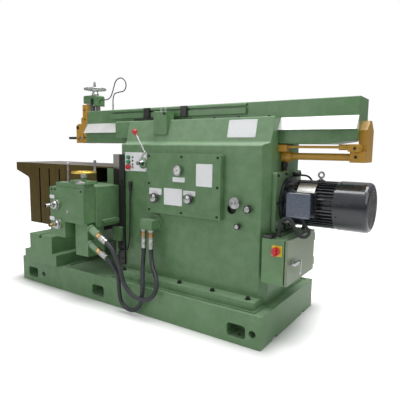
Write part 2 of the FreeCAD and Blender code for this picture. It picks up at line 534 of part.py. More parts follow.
def make_head():
    disc = cylinder("x", -706, RAM_FRONT, 0, SWIVEL_Z, 106)
    guide = [(-706, -DOVETAIL_NECK - 14), (-SLIDE_GAP + SLIDE_BACK + 1, -DOVETAIL_NECK - 14),
             (SLIDE_BACK + 0.5, -DOVETAIL_NECK), (DOVETAIL_FRONT, -DOVETAIL_HEAD)]
    guide = guide + [(x, -y) for x, y in reversed(guide)]
    swivel = disc.fuse(prism("z", guide, 1262, 1592)).removeSplitter()
    slot = box(-760, -686, -21, 21, 1225, 1600)
    keep("head_swivel", swivel.cut(slot))
    slide = box(SLIDE_FRONT, SLIDE_BACK, -SLIDE_HALF, SLIDE_HALF, SLIDE_LOW, SLIDE_HIGH, 5)
    gap = SLIDE_GAP
    groove = [(SLIDE_BACK + 1, -DOVETAIL_NECK - gap), (DOVETAIL_FRONT - gap, -DOVETAIL_HEAD - 2 * gap)]
    groove = groove + [(x, -y) for x, y in reversed(groove)]
    slide = slide.cut(prism("z", groove, SLIDE_LOW - 1, SLIDE_HIGH + 1))
    boss = prism("y", [(SLIDE_FRONT + 2, 1414), (-816, 1414), (-816, 1462), (SLIDE_FRONT + 2, 1474)], -70, 70)
    nut = box(DOVETAIL_FRONT - 4, -690, -14, 14, 1424, 1456).cut(cylinder("z", 1400, 1480, SCREW_X, 0, 10 + 0.06))
    keep("tool_slide", slide.fuse([boss, nut]).removeSplitter())
    cheeks = [box(-878, SLIDE_FRONT, side * 53 if side > 0 else -75, 75 if side > 0 else -53, 1241, 1412, 0)
              for side in (-1, 1)]
    back = box(-814, SLIDE_FRONT, -75, 75, 1241, 1400)
    profile = [(-878, 1241), (SLIDE_FRONT, 1241), (SLIDE_FRONT, 1412), (-846, 1412), (-878, 1396)]
    form = prism("y", profile, -76, 76, 5, {1: 0, 2: 0})
    clapper_box = back.fuse(cheeks).common(form).removeSplitter()
    pin = cylinder("y", -75, 75, CLAPPER_PIN_X, CLAPPER_PIN_Z, 9)
    keep("clapper_box", clapper_box.fuse(pin).removeSplitter())
    block = prism("y", [(-876, 1247), (-814.6, 1247), (-814.6, 1366), (-834, 1391), (-876, 1391)], -52.4, 52.4, 3)
    block = block.cut(cylinder("y", -60, 60, CLAPPER_PIN_X, CLAPPER_PIN_Z, 9 + PIN_GAP))
    keep("clapper_block", block)
    post = spin("x", 0, 1288, [(-876, 0), (-876, 34), (-884, 34), (-884, 26), (-934, 26), (-940, 20), (-940, 12),
                               (-1024, 12), (-1026, 0)])
    post = post.cut(box(-922, -896, -12, 12, 1250, 1330))
    head = box(-1066, -1020, -11, 11, 1277, 1299, 3, "x")
    keep("tool_post", post.fuse(head).removeSplitter())
    top = prism("y", [(-800, 1592), (-800, 1652), (-792, 1660), (-650, 1660), (-640, 1650), (-640, 1568), (-668, 1568),
                      (-668, 1632), (-760, 1632), (-760, 1592)], -52, 52, 4)
    top = top.cut(cylinder("z", 1600, 1670, SCREW_X, 0, 11 + 0.06))
    foot = box(-760, -706, -58, 58, 1592, 1640).cut(box(-762, SCREW_X + 14, -22, 22, 1590, 1634))
    fitting = hexagon("x", -641, -630, -8, 1620, 16)
    keep("head_bracket", top.fuse([foot, fitting]).removeSplitter().cut(cylinder("z", 1590, 1670, SCREW_X, 0, 11 + 0.06)))
    rim = ring("z", WHEEL_Z, SCREW_X, 0, WHEEL_R, WHEEL_RIM_R)
    hub = spin("z", SCREW_X, 0, [(1661, 0), (1661, 28), (1682, 28), (1690, 24), (1722, 20), (1722, 0)])
    parts = [rim, cylinder("z", 1258, 1665, SCREW_X, 0, 10), cylinder("z", 1640, 1662, SCREW_X, 0, 11)]
    for turn in (21, 141, 261):
        end = (SCREW_X + WHEEL_R * math.cos(math.radians(turn)), WHEEL_R * math.sin(math.radians(turn)), WHEEL_Z)
        parts.append(rod((SCREW_X, 0, 1710), end, 7))
    grip_x = SCREW_X + WHEEL_R * math.cos(math.radians(141))
    grip_y = WHEEL_R * math.sin(math.radians(141))
    parts += [cylinder("z", WHEEL_Z, 1740, grip_x, grip_y, 6), spin("z", grip_x, grip_y, [(1738, 0), (1738, 9), (1764, 12), (1794, 9), (1799, 0)])]
    keep("handwheel", hub.fuse(parts).removeSplitter())
    keep("oil_pipe", cylinder("z", RAM_TOP, 1578, -440, -40, 7).fuse(hexagon("z", RAM_TOP, 1527, -440, -40, 22)).removeSplitter())


def make_cross_rail():
    gap = SLIDE_GAP
    near = [(RAIL_FRONT, RAIL_NEAR_END), (RAIL_WING_REAR, RAIL_NEAR_END), (RAIL_WING_REAR, -WAY_OUTER - gap),
            (WAY_FRONT - gap, -WAY_OUTER - gap), (WAY_FRONT - gap, -WAY_INNER + gap), (RAIL_REAR, -WAY_INNER + gap)]
    far = [(RAIL_REAR, WAY_INNER - gap), (WAY_FRONT - gap, WAY_INNER - gap), (WAY_FRONT - gap, WAY_OUTER + gap),
           (RAIL_WING_REAR, WAY_OUTER + gap), (RAIL_WING_REAR, RAIL_FAR_END), (RAIL_FRONT, RAIL_FAR_END)]
    rail = prism("z", near + far, RAIL_LOW, RAIL_HIGH, 0, {0: 5, 1: 8, 10: 8, 11: 5})
    rib = box(-300, -185, -TABLE_HALF, TABLE_HALF, RAIL_HIGH - 1, 1037, 6, "y")
    lug = box(RAIL_WING_REAR - 1, -86, -490, -330, 642, 666, 8, "x")
    keep("cross_rail", rail.fuse([rib, lug]).removeSplitter())
    front = [(-506, 526), (-506, 905), (-124, 905), (-124, 648), (-335, 648), (-335, 526)]
    gearbox = prism("y", front, -650, RAIL_NEAR_END, 7)
    upper = box(-439, -124, -642, -545, 903, 941, 5)
    plate = box(-282, -84, -638, -548, 941, 962, 6)
    pedestal = cylinder("z", 960, 985, FEED_X, FEED_Y, 20)
    bosses = [spin("y", x, z, [(-650, 0), (-650, 40), (-664, 40), (-664, 0)]) for x, z in DIALS]
    gearbox = gearbox.fuse([upper, plate, pedestal] + bosses).removeSplitter()
    cutters = [cylinder("y", -670, -600, x, z, DIAL_SHAFT_R + PIN_GAP) for x, z in DIALS]
    cutters.append(cylinder("z", 930, 990, FEED_X, FEED_Y, FEED_SHAFT_R + PIN_GAP))
    cutters.append(cylinder("x", LEVER_X - 18, LEVER_X + 18, LEVER_Y, LEVER_Z, 28))
    cutters.append(cylinder("x", LEVER_X - 30, LEVER_X + 30, LEVER_Y, LEVER_Z - 6, LEVER_PIN_R + PIN_GAP))
    keep("feed_gearbox", gearbox.cut(cutters))
    for name, (x, z), tip in zip(("crank_shaft_upper", "crank_shaft_lower"), DIALS, (-752, -740)):
        dial = spin("y", x, z, [(-605, 0), (-605, DIAL_SHAFT_R), (-665, DIAL_SHAFT_R), (-665, 33), (-682, 33), (-688, 22),
                                (-704, 22), (-706, DIAL_SHAFT_R), (tip, DIAL_SHAFT_R), (tip, 0)])
        keep(name, dial)
    hub = spin("z", FEED_X, FEED_Y, [(986, 0), (986, 24), (1010, 24), (1026, 16), (1030, 0)])
    parts = [ring("z", FEED_Z, FEED_X, FEED_Y, FEED_R, 7), cylinder("z", 935, 1016, FEED_X, FEED_Y, FEED_SHAFT_R)]
    for turn in (30, 150, 270):
        angle = math.radians(turn)
        end = (FEED_X + FEED_R * math.cos(angle), FEED_Y + FEED_R * math.sin(angle), FEED_Z)
        parts.append(rod((FEED_X, FEED_Y, FEED_Z - 6), end, 6))
    angle = math.radians(30)
    parts.append(cylinder("z", FEED_Z, 1114, FEED_X + FEED_R * math.cos(angle), FEED_Y + FEED_R * math.sin(angle), 5))
    keep("feed_wheel", hub.fuse(parts).removeSplitter())
    lever = cylinder("x", LEVER_X - 14, LEVER_X + 14, LEVER_Y, LEVER_Z, 21)
    pin = cylinder("x", LEVER_X - 28, LEVER_X + 28, LEVER_Y, LEVER_Z - 6, LEVER_PIN_R)
    arm = rod((LEVER_X, LEVER_Y, LEVER_Z), (LEVER_X, LEVER_Y, 1080), 7)
    keep("feed_lever", lever.fuse([pin, arm, Part.makeSphere(9, V(LEVER_X, LEVER_Y, 1082), V(0, 1, 0))]).removeSplitter())
    section = [(-600, 395), (-440, 395), (-440, RAIL_LOW), (-541, RAIL_LOW), (-541, 648), (-600, 648)]
    block = prism("x", section, BLOCK_REAR - 135, BLOCK_REAR, 6, {2: 0, 3: 0, 4: 0})
    elbows = []
    tilt = math.radians(HOSE_TILT)
    along = V(math.cos(tilt), 0, -math.sin(tilt))
    for z in HOSE_OUTLET_Z:
        root = V(BLOCK_REAR - 8, HOSE_Y, z)
        elbows.append(Part.makeCylinder(26, 96, root, along))
        elbows.append(Part.makeCylinder(20, 196, root, along))
    keep("hydraulic_block", block.fuse(elbows).removeSplitter())


def make_table():
    lip = RAIL_FRONT - SLIDE_GAP
    lip_rear = WAY_FRONT - MOVING_GAP
    profile = [(TABLE_REAR, RAIL_LOW - 26), (-395, RAIL_LOW - 26), (-395, RAIL_LOW - SLIDE_GAP), (lip, RAIL_LOW - SLIDE_GAP),
               (lip, 1037 + SLIDE_GAP), (lip_rear, 1037 + SLIDE_GAP), (lip_rear, TABLE_TOP), (TABLE_REAR, TABLE_TOP)]
    keep("saddle", prism("y", profile, -TABLE_HALF, TABLE_HALF, 0, {1: 4, 6: 3}))
    side = [(TABLE_FRONT, TABLE_TOP), (TABLE_FRONT, 978), (TABLE_BODY_FRONT, 912), (TABLE_BODY_FRONT, TABLE_LOW),
            (TABLE_REAR, TABLE_LOW), (TABLE_REAR, TABLE_TOP)]
    table = prism("y", side, -TABLE_HALF, TABLE_HALF, 0, {0: 4, 1: 14, 2: 45, 3: 8})
    cutters = []
    for x in (-1203, -1059, -915):
        cutters.append(t_slot("z", TABLE_LOW - 1, TABLE_TOP - 46, x, -TABLE_HALF, (0, 1)))
        cutters.append(t_slot("z", TABLE_LOW - 1, TABLE_TOP - 46, x, TABLE_HALF, (0, -1)))
    for y in (-165, -55, 55, 165):
        cutters.append(t_slot("x", TABLE_FRONT - 1, TABLE_REAR - 20, y, TABLE_TOP, (0, -1)))
    keep("table", table.cut(cutters))
    foot = box(-930, -756, -90, 90, SUPPORT_RAIL_TOP + SLIDE_GAP, TABLE_LOW, 6)
    keep("table_foot", foot)


def make_cords():
    for name, route, diameter in (("table_hose_lower", HOSE_LOWER, 31), ("table_hose_upper", HOSE_UPPER, 31),
                                  ("oil_hose", OIL_HOSE, 9), ("motor_conduit", CONDUIT, 22),
                                  ("rear_cable", REAR_CABLE, 13), ("sensor_cable", SENSOR_CABLE, 12)):
        keep(name, tube_route(name, route, diameter))


def main():
    make_bed()
    make_support_rail()
    make_column()
    make_column_fittings()
    make_valve()
    make_side_knobs()
    make_motor()
    make_electrical_box()
    make_ram()
    make_head()
    make_cross_rail()
    make_table()
    make_cords()
    for name, shape in PARTS.items():
        print(name, "solids", len(shape.Solids), "valid", shape.isValid(), "litres", round(shape.Volume / 1e6, 3))
        shape.exportStep("parts/" + name + ".step")


main()
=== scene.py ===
import math

import bmesh
import bpy
import numpy as np
from mathutils import Matrix


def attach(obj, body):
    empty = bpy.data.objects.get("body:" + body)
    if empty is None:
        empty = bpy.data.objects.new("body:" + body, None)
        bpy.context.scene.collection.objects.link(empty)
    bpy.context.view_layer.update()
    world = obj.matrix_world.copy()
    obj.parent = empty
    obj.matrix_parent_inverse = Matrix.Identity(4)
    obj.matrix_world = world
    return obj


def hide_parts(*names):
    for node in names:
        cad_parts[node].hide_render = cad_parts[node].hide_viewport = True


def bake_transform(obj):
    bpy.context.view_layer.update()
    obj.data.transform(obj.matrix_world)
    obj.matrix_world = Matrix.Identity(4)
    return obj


bl_info = {
    "name": "Hydraulic Shaper Dressing",
    "version": (1, 0, 0),
    "blender": (4, 5, 0),
    "location": "View3D > Sidebar > Shaper",
    "description": "Paint, metal, hoses, screws and plates for the solids of a hydraulic shaping machine",
    "category": "Object",
}

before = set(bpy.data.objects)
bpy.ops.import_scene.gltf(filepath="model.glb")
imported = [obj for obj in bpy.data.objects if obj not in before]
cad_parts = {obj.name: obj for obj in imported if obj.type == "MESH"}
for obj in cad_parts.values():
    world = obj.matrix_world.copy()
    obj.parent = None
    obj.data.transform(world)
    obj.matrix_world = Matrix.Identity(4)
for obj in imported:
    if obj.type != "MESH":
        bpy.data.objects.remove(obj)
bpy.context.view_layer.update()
MM = 0.001
X, Y, Z = (1.0, 0.0, 0.0), (0.0, 1.0, 0.0), (0.0, 0.0, 1.0)
BACK_X, NEAR, DOWN = (-1.0, 0.0, 0.0), (0.0, -1.0, 0.0), (0.0, 0.0, -1.0)
FULL_TURN = 2.0 * math.pi

# Camera, in metres and degrees
CAMERA_PLACE = (2.183, -2.590, 1.205)
CAMERA_YAW = 33.88
CAMERA_DIP = 7.19
CAMERA_ROLL = 0.72
CAMERA_LENS = 36.80

# Where the named parts lie, in millimetres
COLUMN_WALL = -300.0
COVER_FACE = -340.0
PLATE_FACE = -306.0
GEARBOX_FACE = -650.0
COLUMN_TOP = 1409.0
DIALS = ((-418.0, 774.0), (-400.0, 627.0))
MOTOR_Z = 861.0
BLOCK_REAR = -145.0
HOSE_Y = -572.0
HOSE_OUTLET_Z = (612.0, 500.0)
HOSE_TILT = math.radians(27.0)
MANIFOLD_EXIT_X = (212.0, 282.0)
MANIFOLD_EXIT_Y = -386.0
SCREW_X = -703.0
COLUMN_REAR = 1160.0
GAUGE = (497.0, -368.4, 1053.0)
RELIEF_KNOB = (925.0, -333.0, 862.0)
FEED_WHEEL = (-170.0, -600.0)
CLAPPER_PIVOT = (-806.0, 1290.0)
HOSE_DIAMETER = 0.031
RIB_PITCH = 0.0062
RIBBED_STEP = 0.001
SMOOTH_STEP = 0.006
# Colour of the paint's edges: partly bare iron where the paint is worn, partly a painted highlight.
BARE_IRON_AND_HIGHLIGHT = (0.24, 0.25, 0.22)

# Routes of the hoses and cables, in metres
HOSE_LOWER = [(0.212, -0.386, 0.4799), (0.212, -0.386, 0.428), (0.222, -0.412, 0.350), (0.268, -0.462, 0.258),
              (0.300, -0.500, 0.170), (0.268, -0.500, 0.066), (0.186, -0.500, 0.024), (0.090, -0.502, 0.062),
              (0.078, -0.508, 0.150), (0.098, -0.530, 0.235), (0.120, -0.556, 0.308),
              (0.0618, -0.572, 0.39054),
              (0.02173, -0.572, 0.41097)]
HOSE_UPPER = [(0.282, -0.386, 0.4799), (0.282, -0.386, 0.418), (0.330, -0.424, 0.350), (0.402, -0.468, 0.305),
              (0.428, -0.498, 0.232), (0.392, -0.528, 0.160), (0.290, -0.542, 0.150), (0.206, -0.548, 0.190),
              (0.166, -0.558, 0.262), (0.150, -0.564, 0.345), (0.116, -0.571, 0.430),
              (0.0618, -0.572, 0.50254),
              (0.02173, -0.572, 0.52297)]
OIL_HOSE = [(-0.62995, -0.008, 1.620), (-0.590, -0.008, 1.620), (-0.535, -0.016, 1.616),
            (-0.480, -0.026, 1.632),
            (-0.438, -0.034, 1.700), (-0.408, -0.038, 1.770), (-0.334, -0.040, 1.790),
            (-0.278, -0.040, 1.738),
            (-0.296, -0.040, 1.672), (-0.372, -0.040, 1.668), (-0.440, -0.040, 1.655),
            (-0.440, -0.040, 1.57805)]
CONDUIT = [(1.219, -0.290, 0.67505), (1.219, -0.290, 0.735), (1.236, -0.282, 0.792), (1.286, -0.274, 0.792),
           (1.308, -0.264, 0.738), (1.324, -0.252, 0.690), (1.372, -0.238, 0.680), (1.392, -0.222, 0.716),
           (1.352, -0.206, 0.744), (1.335, -0.203, 0.776)]
REAR_CABLE = [(1.16005, 0.075, 1.036), (1.205, 0.075, 1.036), (1.262, 0.108, 1.030), (1.275, 0.190, 0.940),
              (1.272, 0.192, 0.815), (1.232, 0.104, 0.728), (1.232, 0.104, 0.67305)]
SENSOR_CABLE = [(0.012, -0.312, 0.880), (0.009, -0.316, 0.800), (0.014, -0.318, 0.700),
                (0.010, -0.320, 0.600),
                (0.012, -0.322, 0.510), (0.0, -0.330, 0.420), (-0.050, -0.332, 0.404),
                (-0.08995, -0.332, 0.404)]

finishes = {}


def unit(vector):
    vector = np.asarray(vector, float)
    return vector / np.linalg.norm(vector)


def across(axis, up=None):
    """Two unit vectors square to an axis and to each other, the second one nearest to up."""
    axis = unit(axis)
    up = np.array(up if up is not None else (X if abs(axis[2]) > 0.9 else Z), float)
    up = unit(up - axis * (up @ axis))
    return np.cross(up, axis), up


def spokes(degrees, first, second):
    """Unit vectors at the given angles, turning from a first axis towards a second one."""
    return [math.cos(math.radians(a)) * np.array(first) + math.sin(math.radians(a)) * np.array(second)
            for a in degrees]


def even_turn(count):
    return [360.0 * step / count for step in range(count)]


class Form:
    """Surfaces gathered into one piece, in millimetres."""

    def __init__(self):
        self.points = []
        self.faces = []
        self.uvs = []
        self.count = 0

    def grid(self, points):
        """Quads between neighbouring points of a grid, closed round its second direction."""
        rows, columns = points.shape[:2]
        index = np.arange(rows * columns).reshape(rows, columns) + self.count
        beside = np.roll(index, -1, axis=1)
        quads = np.stack([index[:-1], beside[:-1], beside[1:], index[1:]], axis=-1)
        self.faces += quads.reshape(-1, 4).tolist()
        v, u = np.meshgrid(np.linspace(0, 1, rows), np.linspace(0, 1, columns), indexing="ij")
        self.uvs.append(np.stack([u, v], axis=-1).reshape(-1, 2))
        self.points.append(points.reshape(-1, 3))
        self.count += rows * columns
        return self

    def turned(self, centre, axis, profile, count=32):
        """A point at an angle lies at the profile's distance along the axis and out from it by the profile's
        radius or by the side of a hexagon of the row's width across flats, whichever is less."""
        rows = np.array([(row + (0.0,))[:3] for row in profile], float)
        turn = np.linspace(0, FULL_TURN, count, endpoint=False)
        flat = np.abs(turn % (math.pi / 3) - math.pi / 6)
        wide = np.where(rows[:, 2:3] > 0, rows[:, 2:3] / 2, 1e6) / np.cos(flat)[None, :]
        radius = np.minimum(rows[:, 1:2], wide)
        side, upward = across(axis)
        out = np.cos(turn)[:, None] * side + np.sin(turn)[:, None] * upward
        points = np.array(centre) + rows[:, 0, None, None] * unit(axis) + radius[..., None] * out[None]
        return self.grid(points)

    def plate(self, centre, axis, up, width, height, corner, layers, count=6):
        """A rounded rectangle drawn in by each layer's inset and moved along the axis by its rise: each
        corner point is the corner's centre plus a unit direction times the corner radius less the inset."""
        quarter = np.linspace(0, math.pi / 2, count)
        turn = np.concatenate([quarter + k * math.pi / 2 for k in range(4)])
        signs = np.repeat([(1, 1), (-1, 1), (-1, -1), (1, -1)], count, axis=0)
        hub = signs * (np.array([width, height]) / 2 - corner)
        ray = np.stack([np.cos(turn), np.sin(turn)], axis=1)
        layers = np.array([(layers[0][0], layers[0][1], 0)] + [(i, r, 1) for i, r in layers]
                          + [(layers[-1][0], layers[-1][1], 0)], float)
        flat = (hub[None] + ray[None] * (corner - layers[:, 0, None, None])) * layers[:, 2, None, None]
        side, upward = across(axis, up)
        points = (np.array(centre) + flat[..., 0:1] * side + flat[..., 1:2] * upward
                  + layers[:, 1, None, None] * unit(axis))
        return self.grid(points)

    def carried(self, path, radius, count=20):
        """A circle carried along a path: each station's circle lies square to the path's direction there,
        with its radius given for the station, and closes to a point at both ends."""
        radius = np.broadcast_to(np.asarray(radius, float), (len(path),))
        along = np.gradient(path, axis=0)
        along /= np.linalg.norm(along, axis=1, keepdims=True)
        side = np.cross(along, np.array(Y))
        side /= np.linalg.norm(side, axis=1, keepdims=True)
        other = np.cross(along, side)
        path, side, other = (np.concatenate([row[:1], row, row[-1:]]) for row in (path, side, other))
        radius = np.concatenate([[0.0], radius, [0.0]])[:, None, None]
        turn = np.linspace(0, FULL_TURN, count, endpoint=False)[None, :, None]
        ring = np.cos(turn) * side[:, None] + np.sin(turn) * other[:, None]
        return self.grid(path[:, None] + radius * ring)

    def socket_screw(self, centre, axis, size):
        """Round head with a bevelled rim and a hexagonal socket."""
        head, deep = size, size * 0.55
        rim = (0.0, size), (head * 0.85, size), (head, size * 0.85)
        well = (head, size, size * 0.95), (head - deep, size, size * 0.95), (head - deep, 0.0)
        return self.turned(centre, axis, ((0.0, 0.0),) + rim + well, 24)

    def hex_bolt(self, centre, axis, flats, height=None):
        """Hexagonal head with rounded points on a washer."""
        height = height or flats * 0.6
        base = flats * 0.12
        washer = [(0.0, 0.0), (0.0, flats * 0.78), (base * 0.8, flats * 0.78), (base, flats * 0.74)]
        head = [(base, flats, flats), (base + height * 0.82, flats, flats),
                (base + height, flats * 0.5, flats),
                (base + height, 0.0)]
        return self.turned(centre, axis, washer + head, 24)

    def scale(self, start, along, radius, spokes, long, short, width=0.7, rise=0.15):
        """Graduation round a drum: marks that start on one line, each fifth one longer."""
        for step, out in enumerate(spokes):
            reach = short if step % 5 else long
            centre = np.array(start) + np.array(along) * reach / 2 + out * radius
            self.plate(centre, out, along, width, reach, 0.2, [(0, -0.1), (0, rise)], 2)
        return self

    def piece(self, name, finish, body, slot, crease=38.0):
        """Merge the gathered surfaces, close their poles, turn the faces outwards and give them a finish."""
        mesh = bpy.data.meshes.new(name)
        mesh.from_pydata((np.concatenate(self.points) * MM).tolist(), [], self.faces)
        layer = mesh.uv_layers.new(name="UVMap")
        corner = np.empty(len(mesh.loops), np.int32)
        mesh.loops.foreach_get("vertex_index", corner)
        layer.data.foreach_set("uv", np.concatenate(self.uvs)[corner].astype(np.float32).ravel())
        work = bmesh.new()
        work.from_mesh(mesh)
        bmesh.ops.remove_doubles(work, verts=work.verts, dist=1e-6)
        bmesh.ops.recalc_face_normals(work, faces=work.faces)
        work.to_mesh(mesh)
        work.free()
        mesh.shade_smooth()
        mesh.set_sharp_from_angle(angle=math.radians(crease))
        item = bpy.data.objects.new(name, mesh)
        bpy.context.collection.objects.link(item)
        mesh.materials.append(finishes[finish])
        if body:
            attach(item, body)
        return item


class Tree:
    """Short calls for placing and joining shader nodes."""

    def __init__(self, tree):
        self.tree = tree

    def feed(self, made, inputs):
        """Join a node's inputs to other nodes' results, or give them plain values."""
        for key, value in inputs.items():
            if isinstance(value, bpy.types.NodeSocket):
                self.tree.links.new(value, made.inputs[key])
            else:
                made.inputs[key].default_value = value

    def node(self, kind, inputs=None, **settings):
        made = self.tree.nodes.new(kind)
        for key, value in settings.items():
            setattr(made, key, value)
        self.feed(made, inputs or {})
        return made

    def group(self, name, inputs):
        return self.node("ShaderNodeGroup", inputs, node_tree=bpy.data.node_groups[name])

    def place(self):
        return self.node("ShaderNodeTexCoord").outputs["Object"]

    def parts(self, vector):
        return self.node("ShaderNodeSeparateXYZ", {0: vector}).outputs

    def math(self, operation, first, second=0.0, clamp=False):
        return self.node("ShaderNodeMath", {0: first, 1: second}, operation=operation,
                         use_clamp=clamp).outputs[0]

    def vector(self, operation, first, second=(0.0, 0.0, 0.0)):
        """Result of a vector operation, a plain number for a length or a dot product."""
        made = self.node("ShaderNodeVectorMath", {0: first, 1: second}, operation=operation)
        return made.outputs["Value" if operation in ("LENGTH", "DOT_PRODUCT") else "Vector"]

    def blend(self, factor, first, second):
        made = self.node("ShaderNodeMix", data_type="RGBA")
        sockets = [s for s in made.inputs if s.enabled]
        for socket, value in zip(sockets, (factor, first, second)):
            if isinstance(value, bpy.types.NodeSocket):
                self.tree.links.new(value, socket)
            else:
                socket.default_value = value
        return [s for s in made.outputs if s.enabled][0]

    def noise(self, scale, detail=4.0, rough=0.55, vector=None):
        inputs = {"Scale": scale, "Detail": detail, "Roughness": rough}
        if vector is not None:
            inputs["Vector"] = vector
        return self.node("ShaderNodeTexNoise", inputs).outputs["Fac"]

    def ramp(self, value, low, high, start=0.0, end=1.0):
        return self.node("ShaderNodeMapRange",
                         {"Value": value, "From Min": low, "From Max": high, "To Min": start,
                                                "To Max": end}, clamp=True).outputs[0]


def make_group(name, inputs, outputs):
    group = bpy.data.node_groups.new(name, "ShaderNodeTree")
    kinds = {"value": "NodeSocketFloat", "colour": "NodeSocketColor", "vector": "NodeSocketVector"}
    for label, kind, value in inputs:
        socket = group.interface.new_socket(label, in_out="INPUT", socket_type=kinds[kind])
        socket.default_value = value
    for label, kind in outputs:
        group.interface.new_socket(label, in_out="OUTPUT", socket_type=kinds[kind])
    start = group.nodes.new("NodeGroupInput")
    end = group.nodes.new("NodeGroupOutput")
    return group, Tree(group), start.outputs, end.inputs


def make_edge_group():
    """Mask of 1 where a face turns into its neighbour, broken up by noise, for worn paint and painted
    highlights on edges, and a softly rounded normal.
    """
    group, tree, given, result = make_group(
        "Worn And Highlit Edge", [("Width", "value", 0.003), ("Amount", "value", 1.0)],
        [("Edge", "value"), ("Rounded", "vector")])
    rounded = tree.node("ShaderNodeBevel", {"Radius": given["Width"]}, samples=4).outputs[0]
    plain = tree.node("ShaderNodeNewGeometry").outputs["True Normal"]
    away = tree.math("SUBTRACT", 1.0, tree.vector("DOT_PRODUCT", rounded, plain))
    place = tree.place()
    patchy = tree.ramp(tree.noise(38.0, 5.0, 0.7, place), 0.45, 0.62)
    mask = tree.math("MULTIPLY", tree.ramp(away, 0.03, 0.16), patchy)
    group.links.new(tree.math("MULTIPLY", mask, given["Amount"], clamp=True), result["Edge"])
    group.links.new(rounded, result["Rounded"])


def make_paint_group():
    """Machine paint: broad patches, fine orange peel, a paler colour on upward faces that is partly dust and
    partly painted top light, and on edges a colour that is partly bare metal and partly a painted highlight.
    """
    group, tree, given, result = make_group(
        "Machine Paint",
        [("Paint", "colour", (0.1, 0.2, 0.1, 1)), ("Shade", "colour", (0.08, 0.15, 0.08, 1)),
         ("Dust", "colour", (0.3, 0.4, 0.3, 1)), ("Bare And Highlight", "colour", (0.2, 0.2, 0.2, 1)),
         ("Dust Amount", "value", 0.5), ("Edge", "value", 0.0), ("Gloss", "value", 0.4)],
        [("Colour", "colour"), ("Roughness", "value"), ("Height", "value")])
    place = tree.place()
    broad = tree.ramp(tree.noise(1.7, 3.0, 0.6, place), 0.35, 0.68)
    middle = tree.ramp(tree.noise(14.0, 5.0, 0.65, place), 0.38, 0.66)
    fine = tree.noise(260.0, 2.0, 0.5, place)
    stain = tree.ramp(tree.noise(5.0, 8.0, 0.75, place), 0.56, 0.78)
    upward = tree.parts(tree.node("ShaderNodeNewGeometry").outputs["True Normal"])[2]
    # Upward faces turn towards the faded colour: partly dust, partly painted top light where the lamp above
    # falls.
    top_light_and_dust_mask = tree.math("MULTIPLY", tree.ramp(upward, 0.04, 0.42), given["Dust Amount"])
    colour = tree.blend(broad, given["Shade"], given["Paint"])
    colour = tree.blend(tree.math("MULTIPLY", middle, 0.22), colour, given["Dust"])
    colour = tree.blend(tree.math("MULTIPLY", stain, 0.35), colour, given["Shade"])
    colour = tree.blend(tree.math("MULTIPLY", top_light_and_dust_mask, tree.ramp(middle, 0.0, 1.0, 0.7, 1.0)), colour,
                        given["Dust"])
    # Edges take the bare colour: partly worn paint, partly a painted highlight where rounded edges catch
    # light.
    colour = tree.blend(given["Edge"], colour, given["Bare And Highlight"])
    rough = tree.math("ADD", given["Gloss"], tree.math("MULTIPLY", middle, 0.14))
    rough = tree.math("ADD", rough, tree.math("MULTIPLY", top_light_and_dust_mask, 0.15), clamp=True)
    height = tree.math("ADD", tree.math("MULTIPLY", fine, 0.35), tree.math("MULTIPLY", middle, 0.65))
    for value, label in ((colour, "Colour"), (rough, "Roughness"), (height, "Height")):
        group.links.new(value, result[label])


def make_metal_group():
    """Ground or turned metal: fine scratches drawn out along one direction over slow stains."""
    group, tree, given, result = make_group(
        "Ground Metal",
        [("Bright", "colour", (0.7, 0.7, 0.7, 1)), ("Dull", "colour", (0.4, 0.4, 0.4, 1)),
         ("Stretch", "vector", (3.0, 400.0, 400.0)), ("Gloss", "value", 0.25)],
        [("Colour", "colour"), ("Roughness", "value"), ("Height", "value")])
    place = tree.place()
    scratch = tree.noise(1.0, 3.0, 0.6, tree.vector("MULTIPLY", place, given["Stretch"]))
    stain = tree.ramp(tree.noise(9.0, 6.0, 0.7, place), 0.35, 0.7)
    colour = tree.blend(tree.math("MULTIPLY", stain, 0.8), given["Bright"], given["Dull"])
    colour = tree.blend(tree.ramp(scratch, 0.35, 0.75, 0.0, 0.45), colour, given["Dull"])
    rough = tree.math("ADD", given["Gloss"], tree.math("MULTIPLY", tree.math("ADD", scratch, stain), 0.14),
                      clamp=True)
    for value, label in ((colour, "Colour"), (rough, "Roughness"), (scratch, "Height")):
        group.links.new(value, result[label])


def new_finish(name):
    material = bpy.data.materials.new(name)
    material.use_nodes = True
    finishes[name] = material
    return Tree(material.node_tree), material.node_tree.nodes["Principled BSDF"]


def add_bump(tree, shader, height, strength, distance, normal=None):
    inputs = {"Height": height, "Strength": strength, "Distance": distance}
    if normal is not None:
        inputs["Normal"] = normal
    tree.feed(shader, {"Normal": tree.node("ShaderNodeBump", inputs).outputs[0]})


def tint(colour, factor):
    return tuple(c * factor for c in colour[:3]) + (1.0,)


def make_paint(name, colour, dust, bare_and_highlight, gloss=0.34, top_light_and_dust=0.75, wear_and_highlight=0.35, coat=0.25, width=0.004, bump=0.12,
               shine=0.18):
    """Machine paint over edges that are partly worn and partly a painted highlight: gloss is its roughness,
    shine the roughness of its coat.
    """
    tree, shader = new_finish(name)
    edge = tree.group("Worn And Highlit Edge", {"Width": width, "Amount": wear_and_highlight})
    paint = tree.group("Machine Paint", {
        "Paint": tint(colour, 1.0), "Shade": tint(colour, 0.82), "Dust": tint(dust, 1.0),
        "Bare And Highlight": tint(bare_and_highlight, 1.0),
        "Dust Amount": top_light_and_dust, "Gloss": gloss, "Edge": edge.outputs["Edge"]})
    tree.feed(shader, {"Base Color": paint.outputs["Colour"], "Roughness": paint.outputs["Roughness"],
                       "Coat Weight": coat, "Coat Roughness": shine})
    add_bump(tree, shader, paint.outputs["Height"], bump, 0.002, edge.outputs["Rounded"])
    return tree, shader, paint


